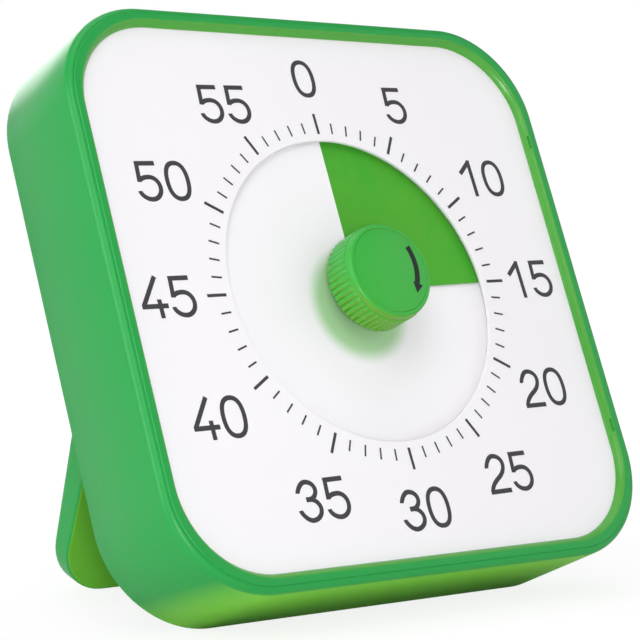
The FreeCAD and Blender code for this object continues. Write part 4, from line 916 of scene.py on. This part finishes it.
class TIMER_OT_screws(bpy.types.Operator):
    """Four crowned screws with cross recesses that hold the back cover"""
    bl_idname = "timer.screws"
    bl_label = "Case screws"

    inset: FloatProperty(name="Inset", description="Screws from the housing's side", default=7.8)
    upper: FloatProperty(name="Upper", description="Upper screws above the middle", default=31.0)
    lower: FloatProperty(name="Lower", description="Lower screws below the middle", default=41.0)
    head: FloatProperty(name="Head", description="Radius of a head", default=2.58)
    shaft: FloatProperty(name="Shaft", description="Radius of a shaft", default=1.28)
    length: FloatProperty(name="Length", description="Length under the head", default=9.9)

    def execute(self, context):
        s = sizes()
        back = s.rim_front - s.depth
        x = s.body / 2 - self.inset
        bm = bmesh.new()
        level_slots = []
        upright_slots = []
        for place in ((x, self.upper), (-x, self.upper), (x, -self.lower), (-x, -self.lower)):
            self.screw(bm, place, back)
            level, upright = self.recess(place, back)
            level_slots.append(level)
            upright_slots.append(upright)
        piece = mesh_piece("cross_screws", bm, DIAL, "zinc_plated_steel", "housing", 30.0,
                           ("case_screws",))
        subtract(piece, box_tool(level_slots, DIAL))
        subtract(piece, box_tool(upright_slots, DIAL))
        piece.data.set_sharp_from_angle(angle=math.radians(30.0))
        return {"FINISHED"}

    def screw(self, bm, place, back):
        """Crowned head and plain shaft with a point, turned from half a profile."""
        seat = back + 1.18
        tip = back + 1.2 + self.length
        point = 1.0
        profile = [(0.0, back + 0.02), (self.head * 0.6, back + 0.12), (self.head * 0.9, back + 0.34),
                   (self.head, back + 0.62), (self.head, seat), (self.shaft, seat),
                   (self.shaft, tip - point), (0.0, tip)]
        verts = [bm.verts.new((place[0] + radius, place[1], z)) for radius, z in profile]
        edges = [bm.edges.new(pair) for pair in zip(verts, verts[1:])]
        bmesh.ops.spin(bm, geom=verts + edges, cent=(*place, 0.0), axis=(0, 0, 1), angle=2 * math.pi,
                       steps=40, use_merge=True)
        bmesh.ops.remove_doubles(bm, verts=bm.verts, dist=0.001)

    def recess(self, place, back):
        """Boxes of the level and the upright slot of a cross, which are cut one after the other."""
        long, short, deep = 1.45, 0.3, 0.75
        behind = back - 1.0
        x, y = place
        return ((x - long, x + long, y - short, y + short, behind, back + deep),
                (x - short, x + short, y - long, y + long, behind, back + deep - 0.02))


# Each lamp's name, place in metres, width in metres and power in watts.
LAMPS = (
    ("key", (-0.75, -0.75, 0.95), 0.9, 5.6),
    ("front", (-0.45, -0.65, 0.10), 0.13, 2.1),
    ("left", (-1.1, 0.15, 0.35), 0.7, 4.5),
    ("rear", (0.4, 1.2, 0.6), 0.8, 4.0),
    ("right", (0.9, -0.6, 0.5), 1.1, 2.2),
    ("top", (0.0, 0.1, 1.3), 1.2, 4.5),
)


class TIMER_OT_stage(bpy.types.Operator):
    """Floor, lights and the camera at the photograph's angle"""
    bl_idname = "timer.stage"
    bl_label = "Stage"

    shadow_reach: FloatProperty(name="Shadow reach",
                                description="Metres over which the floor fades to white",
                                default=0.3, min=0.05)
    shadow_share: FloatProperty(name="Shadow share", description="Share of real shading near the object",
                                default=0.2, min=0.0, max=1.0)

    def execute(self, context):
        self.floor()
        self.world()
        for name, place, width, power in LAMPS:
            self.lamp(name, place, width, power)
        self.camera()
        context.scene.view_settings.view_transform = "Standard"
        return {"FINISHED"}

    def floor(self):
        bm = bmesh.new()
        bmesh.ops.create_grid(bm, x_segments=1, y_segments=1, size=3.0)
        mesh = bpy.data.meshes.new("floor")
        bm.to_mesh(mesh)
        bm.free()
        floor = bpy.data.objects.new("floor", mesh)
        bpy.context.scene.collection.objects.link(floor)
        mesh.materials.append(self.paper())

    def paper(self):
        """White sweep: pure white to the camera away from the object, a soft shadow near it."""
        material, tree = new_material("white_sweep_paper")
        path = add_node(tree, "ShaderNodeLightPath")
        coords = add_node(tree, "ShaderNodeTexCoord")
        near = add_node(tree, "ShaderNodeVectorMath", {"operation": "SCALE"},
                        {0: coords.outputs["Object"], "Scale": 1 / self.shadow_reach})
        fade = add_node(tree, "ShaderNodeTexGradient", {"gradient_type": "SPHERICAL"},
                        {"Vector": near.outputs["Vector"]})
        white = add_node(tree, "ShaderNodeMapRange", links={
            "Value": fade.outputs["Fac"], "From Max": 0.6, "To Min": 1.0,
            "To Max": 1.0 - self.shadow_share})
        share = add_node(tree, "ShaderNodeMath", {"operation": "MULTIPLY"},
                         {0: white.outputs["Result"], 1: path.outputs["Is Camera Ray"]})
        fibre = add_node(tree, "ShaderNodeTexNoise",
                         links={"Vector": coords.outputs["Object"], "Scale": 900.0})
        paper = add_node(tree, "ShaderNodeMix", {"data_type": "RGBA"},
                         {"Factor": fibre.outputs["Fac"], "A": linear("F6F6F6"), "B": linear("F2F2F2")})
        diffuse = add_node(tree, "ShaderNodeBsdfDiffuse", links={"Color": paper.outputs["Result"]})
        glow = add_node(tree, "ShaderNodeEmission", links={"Color": linear("FFFFFF"), "Strength": 1.06})
        mixed = add_node(tree, "ShaderNodeMixShader",
                         links={0: share.outputs[0], 1: diffuse.outputs[0], 2: glow.outputs[0]})
        finish_material(tree, mixed.outputs[0])
        return material

    def world(self):
        """White to the camera; to the object a dim room with a bright backdrop behind it."""
        world = bpy.data.worlds.new("studio")
        world.use_nodes = True
        tree = world.node_tree
        tree.nodes.clear()
        path = add_node(tree, "ShaderNodeLightPath")
        seen = add_node(tree, "ShaderNodeMath", {"operation": "MAXIMUM"},
                        {0: path.outputs["Is Camera Ray"], 1: path.outputs["Is Transmission Ray"]})
        coords = add_node(tree, "ShaderNodeTexCoord")
        axes = add_node(tree, "ShaderNodeSeparateXYZ", links={"Vector": coords.outputs["Generated"]})
        behind = add_node(tree, "ShaderNodeMapRange", links={
            "Value": axes.outputs["Y"], "From Min": 0.55, "From Max": 0.95, "To Min": 0.22,
            "To Max": 0.9})
        soft = add_node(tree, "ShaderNodeBackground",
                        links={"Color": linear("FAFCFF"), "Strength": behind.outputs["Result"]})
        white = add_node(tree, "ShaderNodeBackground", links={"Color": linear("FFFFFF"), "Strength": 1.0})
        mixed = add_node(tree, "ShaderNodeMixShader",
                         links={0: seen.outputs[0], 1: soft.outputs[0], 2: white.outputs[0]})
        add_node(tree, "ShaderNodeOutputWorld", links={"Surface": mixed.outputs[0]})
        bpy.context.scene.world = world

    def lamp(self, name, place, size, power):
        data = bpy.data.lights.new(name, "AREA")
        data.shape = "DISK"
        data.size = size
        data.energy = power
        lamp = bpy.data.objects.new(name, data)
        lamp.location = place
        middle = Vector((0, 0, 0.07))
        lamp.rotation_euler = (middle - Vector(place)).to_track_quat("-Z", "Y").to_euler()
        bpy.context.scene.collection.objects.link(lamp)

    def camera(self):
        """Camera that sees the timer as the photograph does."""
        data = bpy.data.cameras.new("photograph")
        data.lens = 123.63
        data.sensor_width = 36.0
        data.clip_start = 0.05
        data.clip_end = 20.0
        camera = bpy.data.objects.new("photograph", data)
        camera.location = (-0.326717, -0.416914, 0.089356)
        camera.rotation_euler = Euler([math.radians(a) for a in (87.5792, -0.0042, -38.1016)])
        bpy.context.scene.collection.objects.link(camera)
        bpy.context.scene.camera = camera


STEPS = (TIMER_OT_dress_frame, TIMER_OT_housing, TIMER_OT_dial, TIMER_OT_film, TIMER_OT_knob,
         TIMER_OT_print, TIMER_OT_leg, TIMER_OT_screws, TIMER_OT_stage)


class TIMER_PT_panel(bpy.types.Panel):
    """Sidebar panel with the timer's sizes, colours and build steps"""
    bl_idname = "TIMER_PT_panel"
    bl_label = "Countdown timer"
    bl_space_type = "VIEW_3D"
    bl_region_type = "UI"
    bl_category = "Timer"

    def draw(self, context):
        layout = self.layout
        for group in (context.scene.timer_sizes, context.scene.timer_colours):
            column = layout.column()
            for name in group.__annotations__:
                column.prop(group, name)
        for step in STEPS:
            layout.operator(step.bl_idname)


CLASSES = (TimerSizes, TimerColours, *STEPS, TIMER_PT_panel)


def register():
    for cls in CLASSES:
        bpy.utils.register_class(cls)
    bpy.types.Scene.timer_sizes = PointerProperty(type=TimerSizes)
    bpy.types.Scene.timer_colours = PointerProperty(type=TimerColours)


def unregister():
    del bpy.types.Scene.timer_colours
    del bpy.types.Scene.timer_sizes
    for cls in reversed(CLASSES):
        bpy.utils.unregister_class(cls)


def main():
    register()
    for step in STEPS:
        group, name = step.bl_idname.split(".")
        getattr(getattr(bpy.ops, group), name)()


if __name__ == "__main__":
    main()
